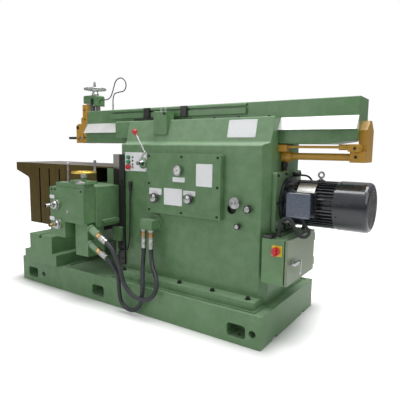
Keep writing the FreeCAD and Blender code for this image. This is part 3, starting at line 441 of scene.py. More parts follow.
def make_metal(name, bright, dull, stretch, gloss=0.2, metallic=1.0):
    """Ground metal with rounded edges, its scratches drawn out by the stretch of each direction."""
    tree, shader = new_finish(name)
    metal = tree.group("Ground Metal", {
        "Bright": tint(bright, 1.0), "Dull": tint(dull, 1.0), "Gloss": gloss, "Stretch": stretch})
    edge = tree.group("Worn And Highlit Edge", {"Width": 0.0015})
    tree.feed(shader, {"Base Color": metal.outputs["Colour"], "Roughness": metal.outputs["Roughness"],
                       "Metallic": metallic})
    add_bump(tree, shader, metal.outputs["Height"], 0.05, 0.0005, edge.outputs["Rounded"])
    return tree, shader, metal


def make_ways(name, colours, inside):
    """Paint outside a zone and ground metal inside it, the zone a band of heights given in metres."""
    low, high, reach = inside
    soft = 0.0008
    tree, shader, paint = make_paint(name, colours.green, colours.dust, BARE_IRON_AND_HIGHLIGHT)
    parts = tree.parts(tree.place())
    zone = tree.math("MULTIPLY", tree.ramp(parts[2], low, low + soft), tree.ramp(parts[2], high, high - soft))
    zone = tree.math("MULTIPLY", zone, tree.ramp(tree.math("ABSOLUTE", parts[1]), reach, reach + soft))
    metal = tree.group("Ground Metal", {"Bright": (0.93, 0.93, 0.92, 1), "Dull": (0.74, 0.74, 0.73, 1),
                                        "Stretch": (2.0, 320.0, 320.0), "Gloss": 0.24})
    rough = tree.node("ShaderNodeMix", {0: zone}, data_type="FLOAT")
    tree.feed(rough, {"A": paint.outputs["Roughness"], "B": metal.outputs["Roughness"]})
    tree.feed(shader, {"Base Color": tree.blend(zone, paint.outputs["Colour"], metal.outputs["Colour"]),
                       "Roughness": rough.outputs["Result"], "Metallic": tree.math("MULTIPLY", zone, 0.35)})


def make_table_finish(colours):
    """Iron table: ground top, streaked brown sides under oil, and slot faces painted near-black as shade."""
    tree, shader, metal = make_metal("table_iron", (0.62, 0.58, 0.54), (0.44, 0.40, 0.36),
                                     (300.0, 4.0, 300.0), 0.3,
                                     0.75)
    place = tree.place()
    parts = tree.parts(place)
    side = tree.ramp(parts[2], 1.0515, 1.0495)
    streak = tree.noise(1.0, 4.0, 0.6, tree.vector("MULTIPLY", place, (30.0, 30.0, 2.0)))
    blotch = tree.ramp(tree.noise(6.0, 6.0, 0.7, place), 0.35, 0.7)
    brown = tree.blend(tree.ramp(streak, 0.3, 0.75), tint(colours.table, 1.25), tint(colours.table, 0.7))
    brown = tree.blend(tree.math("MULTIPLY", blotch, 0.6), brown, tint(colours.table, 1.5))
    # Faces set back from the side face, below the top, go near-black: painted shade in the slots.
    deep = tree.math("MULTIPLY", tree.ramp(tree.math("ABSOLUTE", parts[1]), 0.2485, 0.247),
                     tree.ramp(parts[2], 1.0495, 1.047))
    brown = tree.blend(tree.math("MULTIPLY", deep, 0.92), brown, (0.012, 0.010, 0.006, 1))
    tree.feed(shader, {"Base Color": tree.blend(side, metal.outputs["Colour"], brown),
                       "Metallic": tree.ramp(side, 0.0, 1.0, 0.75, 0.1), "Specular IOR Level": 0.2})


def make_way_finish():
    """Column way: bright above, almost black below a height of 1.05 m, where the rail runs."""
    tree, shader, metal = make_metal("scraped_iron", (0.50, 0.48, 0.45), (0.30, 0.28, 0.26),
                                     (260.0, 260.0, 3.0),
                                     0.26, 0.8)
    place = tree.place()
    edge = tree.math("ADD", tree.parts(place)[2],
                     tree.math("MULTIPLY", tree.noise(30.0, 3.0, 0.6, place), 0.03))
    # Below 1.05 m, along a wavering edge, the way turns almost black.
    dark_below = tree.ramp(edge, 1.075, 1.050)
    tree.feed(shader, {"Base Color": tree.blend(dark_below, metal.outputs["Colour"], (0.035, 0.032, 0.028, 1))})


def make_gilt():
    """Feed wheel: a gold face within a plain ring."""
    tree, shader, metal = make_metal("gilt", (0.62, 0.62, 0.60), (0.42, 0.42, 0.40), (60.0, 60.0, 60.0),
                                     0.2, 0.85)
    hub = tuple(c * MM for c in FEED_WHEEL) + (0.0,)
    reach = tree.vector("LENGTH", tree.vector("MULTIPLY", tree.vector("SUBTRACT", tree.place(), hub),
                                              (1.0, 1.0, 0.0)))
    gold = tree.blend(tree.ramp(reach, 0.050, 0.052), metal.outputs["Colour"], (0.80, 0.56, 0.11, 1))
    tree.feed(shader, {"Base Color": gold})


def make_rubber(name, colour, gloss=0.42):
    """Clouded hose rubber with a fine grain."""
    tree, shader = new_finish(name)
    place = tree.place()
    cloud = tree.ramp(tree.noise(22.0, 5.0, 0.6, place), 0.35, 0.7)
    tree.feed(shader, {"Base Color": tree.blend(cloud, tint(colour, 0.8), tint(colour, 1.35)),
                       "Roughness": tree.ramp(cloud, 0.0, 1.0, gloss, gloss + 0.15),
                       "Specular IOR Level": 0.55})
    add_bump(tree, shader, tree.noise(520.0, 2.0, 0.5, place), 0.25, 0.0008)


def make_enamel(name, colour, gloss=0.25, coat=0.3, mottle=0.12):
    """Smooth moulded or enamelled surface with slight clouding and a fine skin."""
    tree, shader = new_finish(name)
    place = tree.place()
    cloud = tree.ramp(tree.noise(60.0, 4.0, 0.6, place), 0.3, 0.7)
    tree.feed(shader, {"Base Color": tree.blend(cloud, tint(colour, 1.0 - mottle),
                                                tint(colour, 1.0 + mottle * 0.5)),
                       "Roughness": tree.ramp(cloud, 0.0, 1.0, gloss, gloss + 0.12), "Coat Weight": coat,
                       "Coat Roughness": 0.08})
    add_bump(tree, shader, tree.noise(900.0, 2.0, 0.5, place), 0.04, 0.0004)


class ShaperColours(bpy.types.PropertyGroup):
    """Paints and metals of the shaping machine, in linear light."""
    green: bpy.props.FloatVectorProperty(name="Machine green", description="Paint of the column, bed and ram",
                                         subtype="COLOR", size=3, default=(0.122, 0.252, 0.106), min=0, max=1)
    # Faded green is partly dust and partly painted top light, laid on upward faces.
    dust: bpy.props.FloatVectorProperty(name="Faded green",
                                        description="Paint where light and dust lie on it",
                                        subtype="COLOR", size=3, default=(0.285, 0.420, 0.270), min=0, max=1)
    ochre: bpy.props.FloatVectorProperty(name="Ochre",
                                         description="Paint of the tool head and the ram's bracket",
                                         subtype="COLOR", size=3, default=(0.56, 0.30, 0.026), min=0, max=1)
    motor: bpy.props.FloatVectorProperty(name="Motor black", description="Paint of the motor",
                                         subtype="COLOR", size=3, default=(0.024, 0.028, 0.036), min=0, max=1)
    table: bpy.props.FloatVectorProperty(name="Oiled iron", description="Sides of the table under oil",
                                         subtype="COLOR", size=3, default=(0.085, 0.060, 0.014), min=0, max=1)
    hose: bpy.props.FloatVectorProperty(name="Hose", description="Rubber of the hoses",
                                        subtype="COLOR", size=3, default=(0.032, 0.034, 0.040), min=0, max=1)


class ShaperSizes(bpy.types.PropertyGroup):
    """Sizes of the small pieces that are added to the solids."""
    plate_rise: bpy.props.FloatProperty(name="Plate thickness",
                                        description="How far a label plate stands off its face",
                                        unit="LENGTH", default=0.0016, min=0.0005, max=0.006)
    cover_screw: bpy.props.FloatProperty(name="Cover screw radius",
                                         description="Head radius of the cover's screws",
                                         unit="LENGTH", default=0.0075, min=0.003, max=0.02)
    foot_bolt: bpy.props.FloatProperty(name="Foot bolt width",
                                       description="Width across flats of the column's bolts",
                                       unit="LENGTH", default=0.024, min=0.01, max=0.06)
    key_light: bpy.props.FloatProperty(name="Key light power",
                                       description="Power of the lamp above the machine",
                                       unit="POWER", default=185.0, min=0.0, max=2000.0)


def sizes():
    return bpy.context.scene.shaper_sizes


def read_line(points):
    """Smooth NURBS line whose control points are the route's points, read back as a fine row of points."""
    curve = bpy.data.curves.new("route", "CURVE")
    curve.dimensions = "3D"
    curve.resolution_u = 24
    add_spline(curve, points)
    holder = bpy.data.objects.new("route", curve)
    bpy.context.collection.objects.link(holder)
    mesh = bpy.data.meshes.new_from_object(holder)
    line = np.empty(len(mesh.vertices) * 3)
    mesh.vertices.foreach_get("co", line)
    bpy.data.meshes.remove(mesh)
    bpy.data.objects.remove(holder)
    bpy.data.curves.remove(curve)
    return line.reshape(-1, 3)


def add_spline(curve, points):
    spline = curve.splines.new("NURBS")
    spline.points.add(len(points) - 1)
    spline.points.foreach_set("co", np.column_stack([np.array(points), np.ones(len(points))]).ravel())
    spline.order_u = 3
    spline.use_endpoint_u = True
    return spline


def even_line(line, pitch):
    """The same line with its points an even distance apart."""
    step = np.linalg.norm(np.diff(line, axis=0), axis=1)
    keep = np.concatenate([[True], step > 1e-7])
    line = line[keep]
    travel = np.concatenate([[0], np.cumsum(np.linalg.norm(np.diff(line, axis=0), axis=1))])
    count = max(int(travel[-1] / pitch), 8) + 1
    at = np.linspace(0, travel[-1], count)
    return np.stack([np.interp(at, travel, line[:, k]) for k in range(3)], axis=1), at


def make_hose(name, route, diameter, finish, node, bodies=None, body=None, rib=0.0):
    """Tube along a route's smooth line, its radius falling and rising along a ribbed hose as a cosine."""
    line = read_line(route)
    path, travel = even_line(line, RIBBED_STEP if rib else SMOOTH_STEP)
    wave = 0.5 + 0.5 * np.cos(FULL_TURN * travel / RIB_PITCH)
    form = Form().carried(path / MM, (diameter / 2 - rib * wave) / MM)
    item = form.piece(name, finish, body, "hose_rubber", 60.0)
    if bodies:
        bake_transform(item)
    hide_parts(node)
    return item


def make_cable(name, route, diameter, node, body):
    curve = bpy.data.curves.new(name, "CURVE")
    curve.dimensions = "3D"
    curve.resolution_u = 16
    curve.bevel_depth = diameter / 2
    curve.bevel_resolution = 5
    curve.use_fill_caps = True
    add_spline(curve, route)
    item = bpy.data.objects.new(name, curve)
    bpy.context.collection.objects.link(item)
    curve.materials.append(finishes["cable_black"])
    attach(item, body)
    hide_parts(node)
    return item


class SHAPER_OT_finishes(bpy.types.Operator):
    """Make the paints and metals and give one to every solid"""
    bl_idname = "shaper.finishes"
    bl_label = "Paints and metals"

    def execute(self, context):
        colours = context.scene.shaper_colours
        make_edge_group()
        make_paint_group()
        make_metal_group()
        # Each paint's faded colour lies on upward faces as dust and painted top light; its bare colour lies
        # on edges as wear and a painted highlight.
        make_paint("machine_green", colours.green, colours.dust, BARE_IRON_AND_HIGHLIGHT)
        make_paint("box_green", tint(colours.green, 1.12), colours.dust, BARE_IRON_AND_HIGHLIGHT, top_light_and_dust=0.4, wear_and_highlight=0.15,
                   width=0.002)
        # The door's green is the box paint made lighter and yellower as painted light on its lit side.
        make_paint("door_green_painted_light", (0.235, 0.300, 0.185), colours.dust, BARE_IRON_AND_HIGHLIGHT, top_light_and_dust=0.3, wear_and_highlight=0.1,
                   width=0.002)
        make_paint("ochre_paint", colours.ochre, (0.64, 0.40, 0.06), (0.16, 0.10, 0.03), gloss=0.34,
                   top_light_and_dust=0.2,
                   wear_and_highlight=0.6, coat=0.35, bump=0.2)
        make_paint("black_paint", (0.012, 0.012, 0.013), (0.05, 0.05, 0.05), (0.12, 0.12, 0.12), gloss=0.4,
                   top_light_and_dust=0.3)
        make_paint("motor_black", colours.motor, (0.036, 0.042, 0.054), (0.12, 0.12, 0.12), gloss=0.14,
                   top_light_and_dust=0.3,
                   wear_and_highlight=0.2, coat=1.0, bump=0.01, shine=0.05, width=0.002)
        make_ways("ram_green", colours, (1.3252, 1.4068, 0.1088))
        make_table_finish(colours)
        make_way_finish()
        make_metal("bright_steel", (0.72, 0.72, 0.72), (0.50, 0.50, 0.50), (60.0, 60.0, 500.0), 0.14)
        make_metal("zinc", (0.62, 0.62, 0.60), (0.42, 0.42, 0.40), (300.0, 300.0, 60.0), 0.24)
        make_metal("brass", (0.55, 0.38, 0.19), (0.36, 0.23, 0.10), (200.0, 200.0, 60.0), 0.22)
        make_gilt()
        make_metal("chrome", (0.66, 0.66, 0.67), (0.36, 0.36, 0.37), (40.0, 40.0, 40.0), 0.06)
        make_metal("dark_steel", (0.055, 0.052, 0.050), (0.025, 0.024, 0.024), (200.0, 200.0, 200.0), 0.34,
                   0.6)
        make_enamel("label_white", (0.90, 0.91, 0.93), 0.3, 0.15, 0.03)
        # The lid's blue-grey is partly its dark enamel and partly a painted bluish reflection.
        make_enamel("lid_slate_painted_reflection", (0.115, 0.140, 0.190), 0.12, 1.0, 0.3)
        make_enamel("dial_white", (0.80, 0.80, 0.79), 0.3, 0.2, 0.03)
        # Black for printed marks, and for the cowl's holes as painted shade.
        make_enamel("ink_and_hole_shade", (0.03, 0.03, 0.035), 0.5, 0.0)
        make_enamel("signal_red", (0.62, 0.022, 0.03), 0.22, 0.5)
        make_enamel("signal_green", (0.02, 0.34, 0.10), 0.22, 0.5)
        make_enamel("signal_yellow", (0.85, 0.62, 0.02), 0.3, 0.3, 0.04)
        make_enamel("knob_black", (0.016, 0.016, 0.018), 0.3, 0.3)
        # Machine green darkened almost to black: painted shade inside a recess.
        make_enamel("recess_painted_shade", (0.018, 0.028, 0.017), 0.5, 0.0)
        make_rubber("hose_rubber", colours.hose)
        make_rubber("cable_black", tint(colours.hose, 0.6), 0.35)
        own = ("machine_green", "scraped_iron", "table_iron", "bright_steel", "ochre_paint", "black_paint",
               "motor_black", "hose_rubber", "knob_black", "signal_red", "signal_green")
        slots = {slot: slot for slot in own}
        slots.update(shoulder_green="machine_green", box_grey="box_green", label_plate="label_white")
        named = {"ram": "ram_green", "control_plate": "label_white", "feed_wheel": "gilt",
                 "box_door": "door_green_painted_light",
                 "handwheel": "chrome", "pressure_gauge": "chrome", "relief_knob": "chrome",
                 "door_latch": "chrome",
                 "eye_bolt": "chrome", "start_lever": "chrome", "tool_post": "dark_steel",
                 "saddle": "table_iron",
                 "feed_lever": "chrome", "limit_switch": "machine_green"}
        for name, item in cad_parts.items():
            for place in item.material_slots:
                slot = place.material.name.split(".")[0] if place.material else ""
                finish = named.get(name) or slots.get(slot)
                if finish is None:
                    raise RuntimeError("no finish for " + name + " slot " + slot)
                place.material = finishes[finish]
            if not item.material_slots:
                item.data.materials.append(finishes[named.get(name, "machine_green")])
        return {"FINISHED"}


class SHAPER_OT_hoses(bpy.types.Operator):
    """Lay the oil hoses, the conduit and the cables along their routes"""
    bl_idname = "shaper.hoses"
    bl_label = "Hoses and cables"

    def execute(self, context):
        make_hose("hose_lower_skin", HOSE_LOWER, HOSE_DIAMETER, "hose_rubber", "table_hose_lower",
                  bodies=("frame", "cross_rail"))
        make_hose("hose_upper_skin", HOSE_UPPER, HOSE_DIAMETER, "hose_rubber", "table_hose_upper",
                  bodies=("frame", "cross_rail"))
        make_hose("oil_hose_skin", OIL_HOSE[::-1], 0.009, "hose_rubber", "oil_hose",
                  bodies=("ram", "tool_head"))
        make_hose("conduit_skin", CONDUIT, 0.022, "cable_black", "motor_conduit",
                  body="frame",
                  rib=0.0012)
        make_cable("rear_cable_skin", REAR_CABLE, 0.013, "rear_cable", "frame")
        make_cable("sensor_cable_skin", SENSOR_CABLE, 0.012, "sensor_cable", "frame")
        return {"FINISHED"}


class SHAPER_OT_hose_fittings(bpy.types.Operator):
    """Put nuts and crimped ferrules on the ends of the hoses"""
    bl_idname = "shaper.hose_fittings"
    bl_label = "Hose fittings"

    def execute(self, context):
        nuts, brass, ferrules = Form(), Form(), Form()
        for x in MANIFOLD_EXIT_X:
            top = (x, MANIFOLD_EXIT_Y, 618.0)
            nuts.turned(top, DOWN, [(0, 0), (0, 22), (6, 23), (12, 22), (14, 18), (22, 18), (22, 0)], 28)
            brass.turned(top, DOWN, [(18, 0), (18, 26, 40), (22, 40, 41), (48, 40, 41), (52, 22, 41),
                                     (56, 18.5), (56, 0)], 24)
            ferrules.turned(top, DOWN, [(54, 0), (54, 18.2), (58, 20.5), (66, 20.5), (68, 18.8), (72, 18.8),
                                        (74, 20.5),
                                        (92, 20.5), (94, 19), (98, 19), (100, 20.5), (118, 20.5), (122, 19.4),
                                        (138, 19), (139.5, 16.5), (139.5, 0)], 28)
        nuts.piece("manifold_collars", "zinc", "frame", "bright_steel")
        brass.piece("manifold_nuts", "brass", "frame", "ochre_paint")
        ferrules.piece("manifold_ferrules", "zinc", "frame", "bright_steel")
        green, gold, silver = Form(), Form(), Form()
        along = (math.cos(HOSE_TILT), 0.0, -math.sin(HOSE_TILT))
        for z in HOSE_OUTLET_Z:
            root = (BLOCK_REAR - 8, HOSE_Y, z)
            green.turned(root, along,
                         [(4, 0), (4, 34), (20, 34), (24, 30), (26, 60, 50), (84, 60, 50), (92, 27, 50),
                                       (97, 24), (97, 0)], 24)
            gold.turned(root, along,
                        [(96, 0), (96, 40, 44), (122, 40, 44), (128, 23, 44), (130, 21), (130, 0)], 24)
            silver.turned(root, along,
                          [(128, 0), (128, 21.5), (134, 23.5), (146, 23.5), (148, 21.5), (152, 21.5),
                                        (154, 23.5), (170, 23.5), (172, 21.5), (176, 21.5), (178, 23),
                                        (190, 22),
                                        (195.8, 20.5), (195.8, 0)], 28)
        green.piece("hose_elbow_nuts", "machine_green", "cross_rail", "machine_green")
        gold.piece("hose_swivel_nuts", "brass", "cross_rail", "ochre_paint")
        silver.piece("hose_ferrules", "zinc", "cross_rail", "bright_steel")
        glands = Form()
        glands.turned((1219, -290, 675), Z,
                      [(0, 0), (0, 17, 32), (9, 17, 32), (10, 14), (20, 13), (24, 11.4), (24, 11.1)], 24)
        glands.turned((1232, 104, 673), Z, [(0, 0), (0, 12, 22), (8, 12, 22), (9, 9), (18, 8), (21, 6.7)], 24)
        glands.turned((1160, 75, 1036), X,
                      [(0, 0), (0, 19, 34), (10, 19, 34), (12, 15), (30, 13), (44, 8), (46, 6.8)], 24)
        glands.turned((12, -312, 882), Z, [(-10, 6.5), (-8, 9), (8, 11.5), (30, 11.5), (34, 15), (62, 15),
                                           (66, 12), (66, 0)], 24)
        glands.piece("cable_glands", "knob_black", "frame", "knob_black")
        return {"FINISHED"}


class SHAPER_OT_plates(bpy.types.Operator):
    """Fix the blank label plates with their rivets"""
    bl_idname = "shaper.plates"
    bl_label = "Label plates"

    def execute(self, context):
        rise = sizes().plate_rise / MM
        plates, rivets = Form(), Form()
        layers = [(0, -0.5), (0, rise * 0.7), (rise * 0.4, rise), (4.5, rise), (5.1, rise * 0.6)]
        wall = [((702, COVER_FACE, 1028), 128, 150), ((492, COVER_FACE, 989), 104, 33),
                ((284, COVER_FACE, 895), 114, 46), ((443, COVER_FACE, 866), 158, 118),
                ((583, COVER_FACE, 900), 100, 34), ((-478, GEARBOX_FACE, 828), 56, 26),
                ((-484, GEARBOX_FACE, 660), 56, 28)]
        corners = [(sx, sz) for sx in (-1, 1) for sz in (-1, 1)]
        for (x, y, z), width, height in wall:
            plates.plate((x, y, z), NEAR, Z, width, height, 4, layers)
            for sx, sz in corners:
                spot = (x + sx * (width / 2 - 5), y - rise * 0.6, z + sz * (height / 2 - 5))
                rivets.turned(spot, NEAR, [(0, 2.2), (0.9, 1.8), (1.4, 0)], 12)
        slope, slope_up = unit((0.0, -165.0, 39.0)), unit((0.0, 39.0, 165.0))
        centre = np.array((912.0, -220.4, 1335.5))
        frame_plates = Form().plate(centre, slope, slope_up, 206, 118, 4, layers)
        for sx, sz in corners:
            spot = centre + np.array(X) * sx * 97 + slope_up * sz * 53 + slope * rise * 0.6
            rivets.turned(spot, slope, [(0, 2.4), (0.9, 2), (1.4, 0)], 12)
        plates.piece("label_plates", "label_white", "frame", "label_plate")
        frame_plates.piece("shoulder_plate", "label_white", "frame", "label_plate")
        rivets.piece("plate_rivets", "zinc", "frame", "bright_steel")
        turn = np.linspace(math.radians(118), math.radians(152), 12)[:, None]
        along, radius = np.array([[1262.0, 1262.0, 1374.0, 1374.0], [148.0, 152.0, 152.0, 148.0]])
        points = np.stack([np.broadcast_to(along, (12, 4)), radius * np.cos(turn),
                           MOTOR_Z + radius * np.sin(turn)],
                          axis=-1)
        Form().grid(points).piece("motor_tag", "zinc", "frame", "label_plate")
        return {"FINISHED"}


class SHAPER_OT_gauge(bpy.types.Operator):
    """Fit the pressure gauge's dial, ticks, needle and bezel"""
    bl_idname = "shaper.gauge"
    bl_label = "Pressure gauge"

    def execute(self, context):
        centre = np.array(GAUGE)
        Form().turned(centre, NEAR, [(0, 0), (0, 27.5), (0.6, 27.5), (0.6, 0)], 40).piece(
            "gauge_dial", "dial_white", "frame", "label_plate")
        marks = Form()
        for step, out in enumerate(spokes([225 - 6.75 * step for step in range(41)], X, Z)):
            reach = 2.6 if step % 5 else 5.0
            marks.plate(centre + out * (25.5 - reach / 2) + np.array(NEAR) * 0.6, NEAR, out, 0.7, reach, 0.2,
                        [(0, 0), (0, 0.2)], 2)
        needle = spokes([205], X, Z)[0]
        marks.plate(centre + needle * 7 + np.array(NEAR) * 1.2, NEAR, needle, 1.5, 30, 0.5,
                    [(0, 0), (0, 0.5)], 2)
        marks.turned(centre, NEAR, [(0.6, 4), (2.2, 4), (2.6, 3), (2.6, 0)], 20)
        marks.piece("gauge_marks", "ink_and_hole_shade", "frame", "knob_black")
        bezel = [(0.0, 28.5), (3.6, 28.6), (5.4, 30.5), (4.8, 33.6), (1.0, 34.6), (-16, 34.2), (-19, 31)]
        Form().turned(centre, NEAR, bezel, 48).piece("gauge_bezel", "chrome", "frame", "bright_steel")
        return {"FINISHED"}


class SHAPER_OT_controls(bpy.types.Operator):
    """Add the lever's ball and boss, the lamps, the button collars and the knobs' faces"""
    bl_idname = "shaper.controls"
    bl_label = "Controls"

    def execute(self, context):
        ball = np.array((108.0, -362.0, 1319.0))
        way = unit((-92.0, 0.0, 138.0))
        turn = np.linspace(0, math.pi, 20)
        sphere = [(-19.6 * math.cos(t), max(19.6 * math.sin(t), 0.0)) for t in turn]
        Form().turned(ball, way, sphere,
                      32).turned(ball - way * 20, way, [(-10, 7), (-10, 9.5), (0, 9.5), (4, 8)], 24).piece(
            "lever_ball", "signal_red", "start_lever", "signal_red")
        Form().turned((140, PLATE_FACE, 1092), NEAR,
                      [(0.3, 0), (0.3, 41), (5, 41), (8, 38), (10, 31), (30, 16), (30, 0)], 40).piece(
            "lever_boss", "machine_green", "start_lever", "machine_green")
        collars, red, dark = Form(), Form(), Form()
        for z, hole in ((1133, 14), (1098, 14), (1060, 21)):
            collars.turned((-5, PLATE_FACE, z), NEAR, [(-0.5, hole), (-0.5, hole + 3.4), (2.4, hole + 3.4),
                                                       (3.4, hole + 2.4), (3.4, hole), (-0.5, hole)], 32)
        for z, form in ((1133, dark), (1107, dark), (1080, dark), (1058, red)):
            form.turned((34, PLATE_FACE, z), NEAR, [(0, 7), (3, 7), (5, 5), (5.6, 0)], 20)
        collars.piece("button_collars", "zinc", "frame", "bright_steel")
        red.piece("red_lamp", "signal_red", "frame", "signal_red")
        dark.piece("dark_lamps", "knob_black", "frame", "knob_black")
        for x, z, body, name in ((285, 850, "panel_knob_left", "left"),
                                 (586, 862, "panel_knob_right", "right")):
            face = Form()
            face.turned((x, -374, z), NEAR,
                        [(-2, 0), (-2, 27.5), (0.4, 27), (1.2, 24), (0.6, 12), (1.6, 9), (1.6, 0)], 36)
            for out in spokes(even_turn(24), X, Z):
                face.turned((x, -353, z) + out * 33.6, NEAR, [(0, 1.6), (15, 1.6), (16, 0)], 6)
            face.piece("knob_face_" + name, "chrome", body, "bright_steel")
        for name, x, z, size in (("star_knob_rear", 1020, 830, 30), ("star_knob_low", 950, 712, 23)):
            face = Form()
            face.turned((x, -336, z), NEAR, [(-0.5, 0), (-0.5, size * 0.62), (1.6, size * 0.6),
                                             (2.4, size * 0.5), (1.4, size * 0.3), (2.8, 0)], 32)
            face.piece(name + "_face", "chrome", name, "bright_steel")
        disc = Form()
        for radius in (33, 26, 19, 12):
            disc.turned(RELIEF_KNOB, NEAR, [(-1, radius - 2.4), (1.4, radius - 1.8), (1.8, radius),
                                            (1.0, radius + 1.6), (-1, radius + 1.9)], 40)
        disc.turned(RELIEF_KNOB, NEAR, [(-1, 6), (3, 6), (4, 4), (4, 0)], 24)
        disc.piece("relief_knob_rings", "chrome", "relief_knob", "bright_steel")
        # The knob's recess is painted near-black green as painted shade in the hollow.
        well = Form()
        well.turned((893, COLUMN_WALL, 818), NEAR,
                    [(-22, 0), (-22, 29.4), (0.8, 29.6), (1.4, 31), (1.4, 33), (0.1, 34)], 40)
        well.piece("knob_recess", "recess_painted_shade", "frame", "machine_green")
        return {"FINISHED"}


class SHAPER_OT_screws(bpy.types.Operator):
    """Fit the screws, bolts and washers of the castings and covers"""
    bl_idname = "shaper.screws"
    bl_label = "Screws and bolts"

    def execute(self, context):
        size = sizes().cover_screw / MM
        flats = sizes().foot_bolt / MM
        dark = Form()
        for x in (226, 516, 806):
            for z in (760, 1146):
                dark.socket_screw((x, COVER_FACE, z), NEAR, size)
        for x in (226, 806):
            dark.socket_screw((x, COVER_FACE, 952), NEAR, size)
        for x in (-36, 162):
            for z in (1040, 1160):
                dark.turned((x, PLATE_FACE, z), NEAR, [(0, 3.5), (1.5, 3.2), (2, 0)], 14)
        for side in (-1, 1):
            for x in (-20, 514, 789, 1054):
                dark.hex_bolt((x, side * 352, 262), Z, flats)
            for x in (480, 679, 866, 1082):
                dark.socket_screw((x, side * 186, COLUMN_TOP), Z, 9)
            for z in (340, 540, 740, 940, 1120):
                dark.socket_screw((-73, side * 318, z), (0, side, 0), 6.5)
        dark.socket_screw((286, -240, 1452), NEAR, 9)
        for y in (-190, 190):
            for z in (695, 868, 1041):
                dark.socket_screw((COLUMN_REAR, y, z), X, 8.5)
        for y in (-60, 60):
            for z in (690, 1046):
                dark.socket_screw((COLUMN_REAR, y, z), X, 8.5)
        for y, z in ((-178, 1300), (-178, 1385), (178, 1300), (178, 1385)):
            dark.socket_screw((-245, y, z), BACK_X, 8)
        dark.piece("frame_screws", "dark_steel", "frame", "black_paint")
        motor = Form()
        for out in spokes([45, 135, 225, 315], Y, Z):
            motor.hex_bolt(np.array((1178.0, 0, MOTOR_Z)) + out * 150, X, 22)
        for out in spokes([20, 110, 200, 290], Y, Z):
            motor.turned(np.array((1514.0, 0, MOTOR_Z)) + out * 152.6, out,
                         [(0, 5.5), (2, 5), (3, 3), (3, 0)], 16)
        for x in (1255, 1365):
            for z in (805, 933):
                motor.turned((x, -246, z), NEAR, [(0, 5), (2, 5), (3, 3.5), (3, 0)], 16)
        motor.piece("motor_screws", "dark_steel", "frame", "motor_black")
        rail = Form()
        for x in (-480, -440, -150):
            rail.socket_screw((x, GEARBOX_FACE, 885), NEAR, 6)
        for x in (-425, -140):
            for y in (-628, -560):
                rail.socket_screw((x, y, 941), Z, 6.5)
        rail.piece("rail_screws", "dark_steel", "cross_rail", "black_paint")
        # Terminal lid in blue-grey enamel, partly a painted reflection.
        lid = Form()
        lid.plate((1318, -246, 870), NEAR, Z, 148, 152, 14,
                  [(0, -3), (0, 3), (2, 5), (9, 5), (10, 3.6), (12, 3.6)])
        lid.piece("terminal_lid", "lid_slate_painted_reflection", "frame", "motor_black")
        # Black discs on the cowl's end stand for its holes: painted shade inside them.
        grille = Form()
        for row, count in enumerate((8, 16, 22, 30, 36, 44, 50, 58, 64, 70)):
            for out in spokes(even_turn(count), Y, Z):
                hole = np.array((1690.0, 0, MOTOR_Z)) + out * (14 + 12 * row)
                grille.turned(hole, X, [(-1, 3.2), (1.0, 3.2), (1.0, 0)], 8)
        grille.piece("cowl_grille", "ink_and_hole_shade", "frame", "motor_black")
        eye = Form()
        eye.turned((-301, GEARBOX_FACE, 726), NEAR, [(0, 13), (3, 13), (5, 11), (5, 8), (2, 6), (1, 0)], 28)
        for x, z in DIALS:
            eye.turned((x, -664, z), NEAR, [(0, 38), (2, 39), (4, 38), (4, 30), (0, 28)], 40)
        eye.piece("oil_eye", "zinc", "cross_rail", "bright_steel")
        for name, (x, z), tip, metal in (("upper", DIALS[0], -752, "zinc"),
                                         ("lower", DIALS[1], -740, "brass")):
            body = "crank_" + name
            marks = Form().scale((x, -668, z), NEAR, 33, spokes(even_turn(50), X, Z), 8.0, 4.5)
            marks.piece("dial_marks_" + name, "ink_and_hole_shade", body, "knob_black")
            end = [(0, 11.2), (0, 13, 24.5), (6, 13), (8, 12.4), (34, 12.4), (36, 11), (36, 0)]
            Form().turned((x, tip + 36, z), NEAR, end,
                          24).piece("crank_end_" + name, metal, body, "bright_steel")
        head = Form()
        for y in (-62, 62):
            for z in (1290, 1350, 1450, 1530):
                head.socket_screw((-754, math.copysign(80, y), z), (0, math.copysign(1, y), 0), 6)
        head.piece("gib_screws", "dark_steel", "tool_slide", "black_paint")
        clap = Form()
        for y in (-75, 75):
            clap.hex_bolt((-858, y, 1378), (0, math.copysign(1, y), 0), 20, 9)
            clap.socket_screw((-840, y, 1275), (0, math.copysign(1, y), 0), 8)
        clap.socket_screw((-816, -45, 1440), BACK_X, 9).socket_screw((-816, 45, 1440), BACK_X, 9)
        clap.piece("clapper_screws", "dark_steel", "tool_slide", "black_paint")
        gate = Form()
        for z in (1216, 1165):
            gate.socket_screw((1600, -142 if z > 1200 else -108, z), NEAR, 8)
        gate.piece("bracket_bolts", "dark_steel", "ram", "black_paint")
        return {"FINISHED"}


class SHAPER_OT_electrics(bpy.types.Operator):
    """Fit the isolator's plate, the box's key and its sealing strips"""
    bl_idname = "shaper.electrics"
    bl_label = "Electrical box"

    def execute(self, context):
        Form().plate((1231, -336, 598), NEAR, Z, 66, 66, 4, [(0, -0.5), (0, 2), (0.8, 2.8)]).piece(
            "isolator_plate", "signal_yellow", "frame", "label_plate")
        key = Form()
        key.turned((1326, -200, 518), X, [(0, 7), (10, 7), (12, 5), (12, 0)], 20)
        key.plate((1334, -200, 486), X, Z, 14, 46, 6, [(0, 0), (0, 2.4)])
        key.plate((1334, -208, 452), X, Z, 26, 24, 10, [(0, 0), (0, 2.6)])
        key.piece("door_key", "chrome", "door_latch", "bright_steel")
        seal = Form()
        seal.plate((1162, -300, 665), Z, X, 60, 62, 5, [(0, 0), (0, 18), (3, 22)])
        seal.plate((1209, -94, 665), Z, X, 470, 10, 2, [(0, 0), (0, 2), (1, 3)])
        seal.piece("box_seal", "knob_black", "frame", "knob_black")
        return {"FINISHED"}


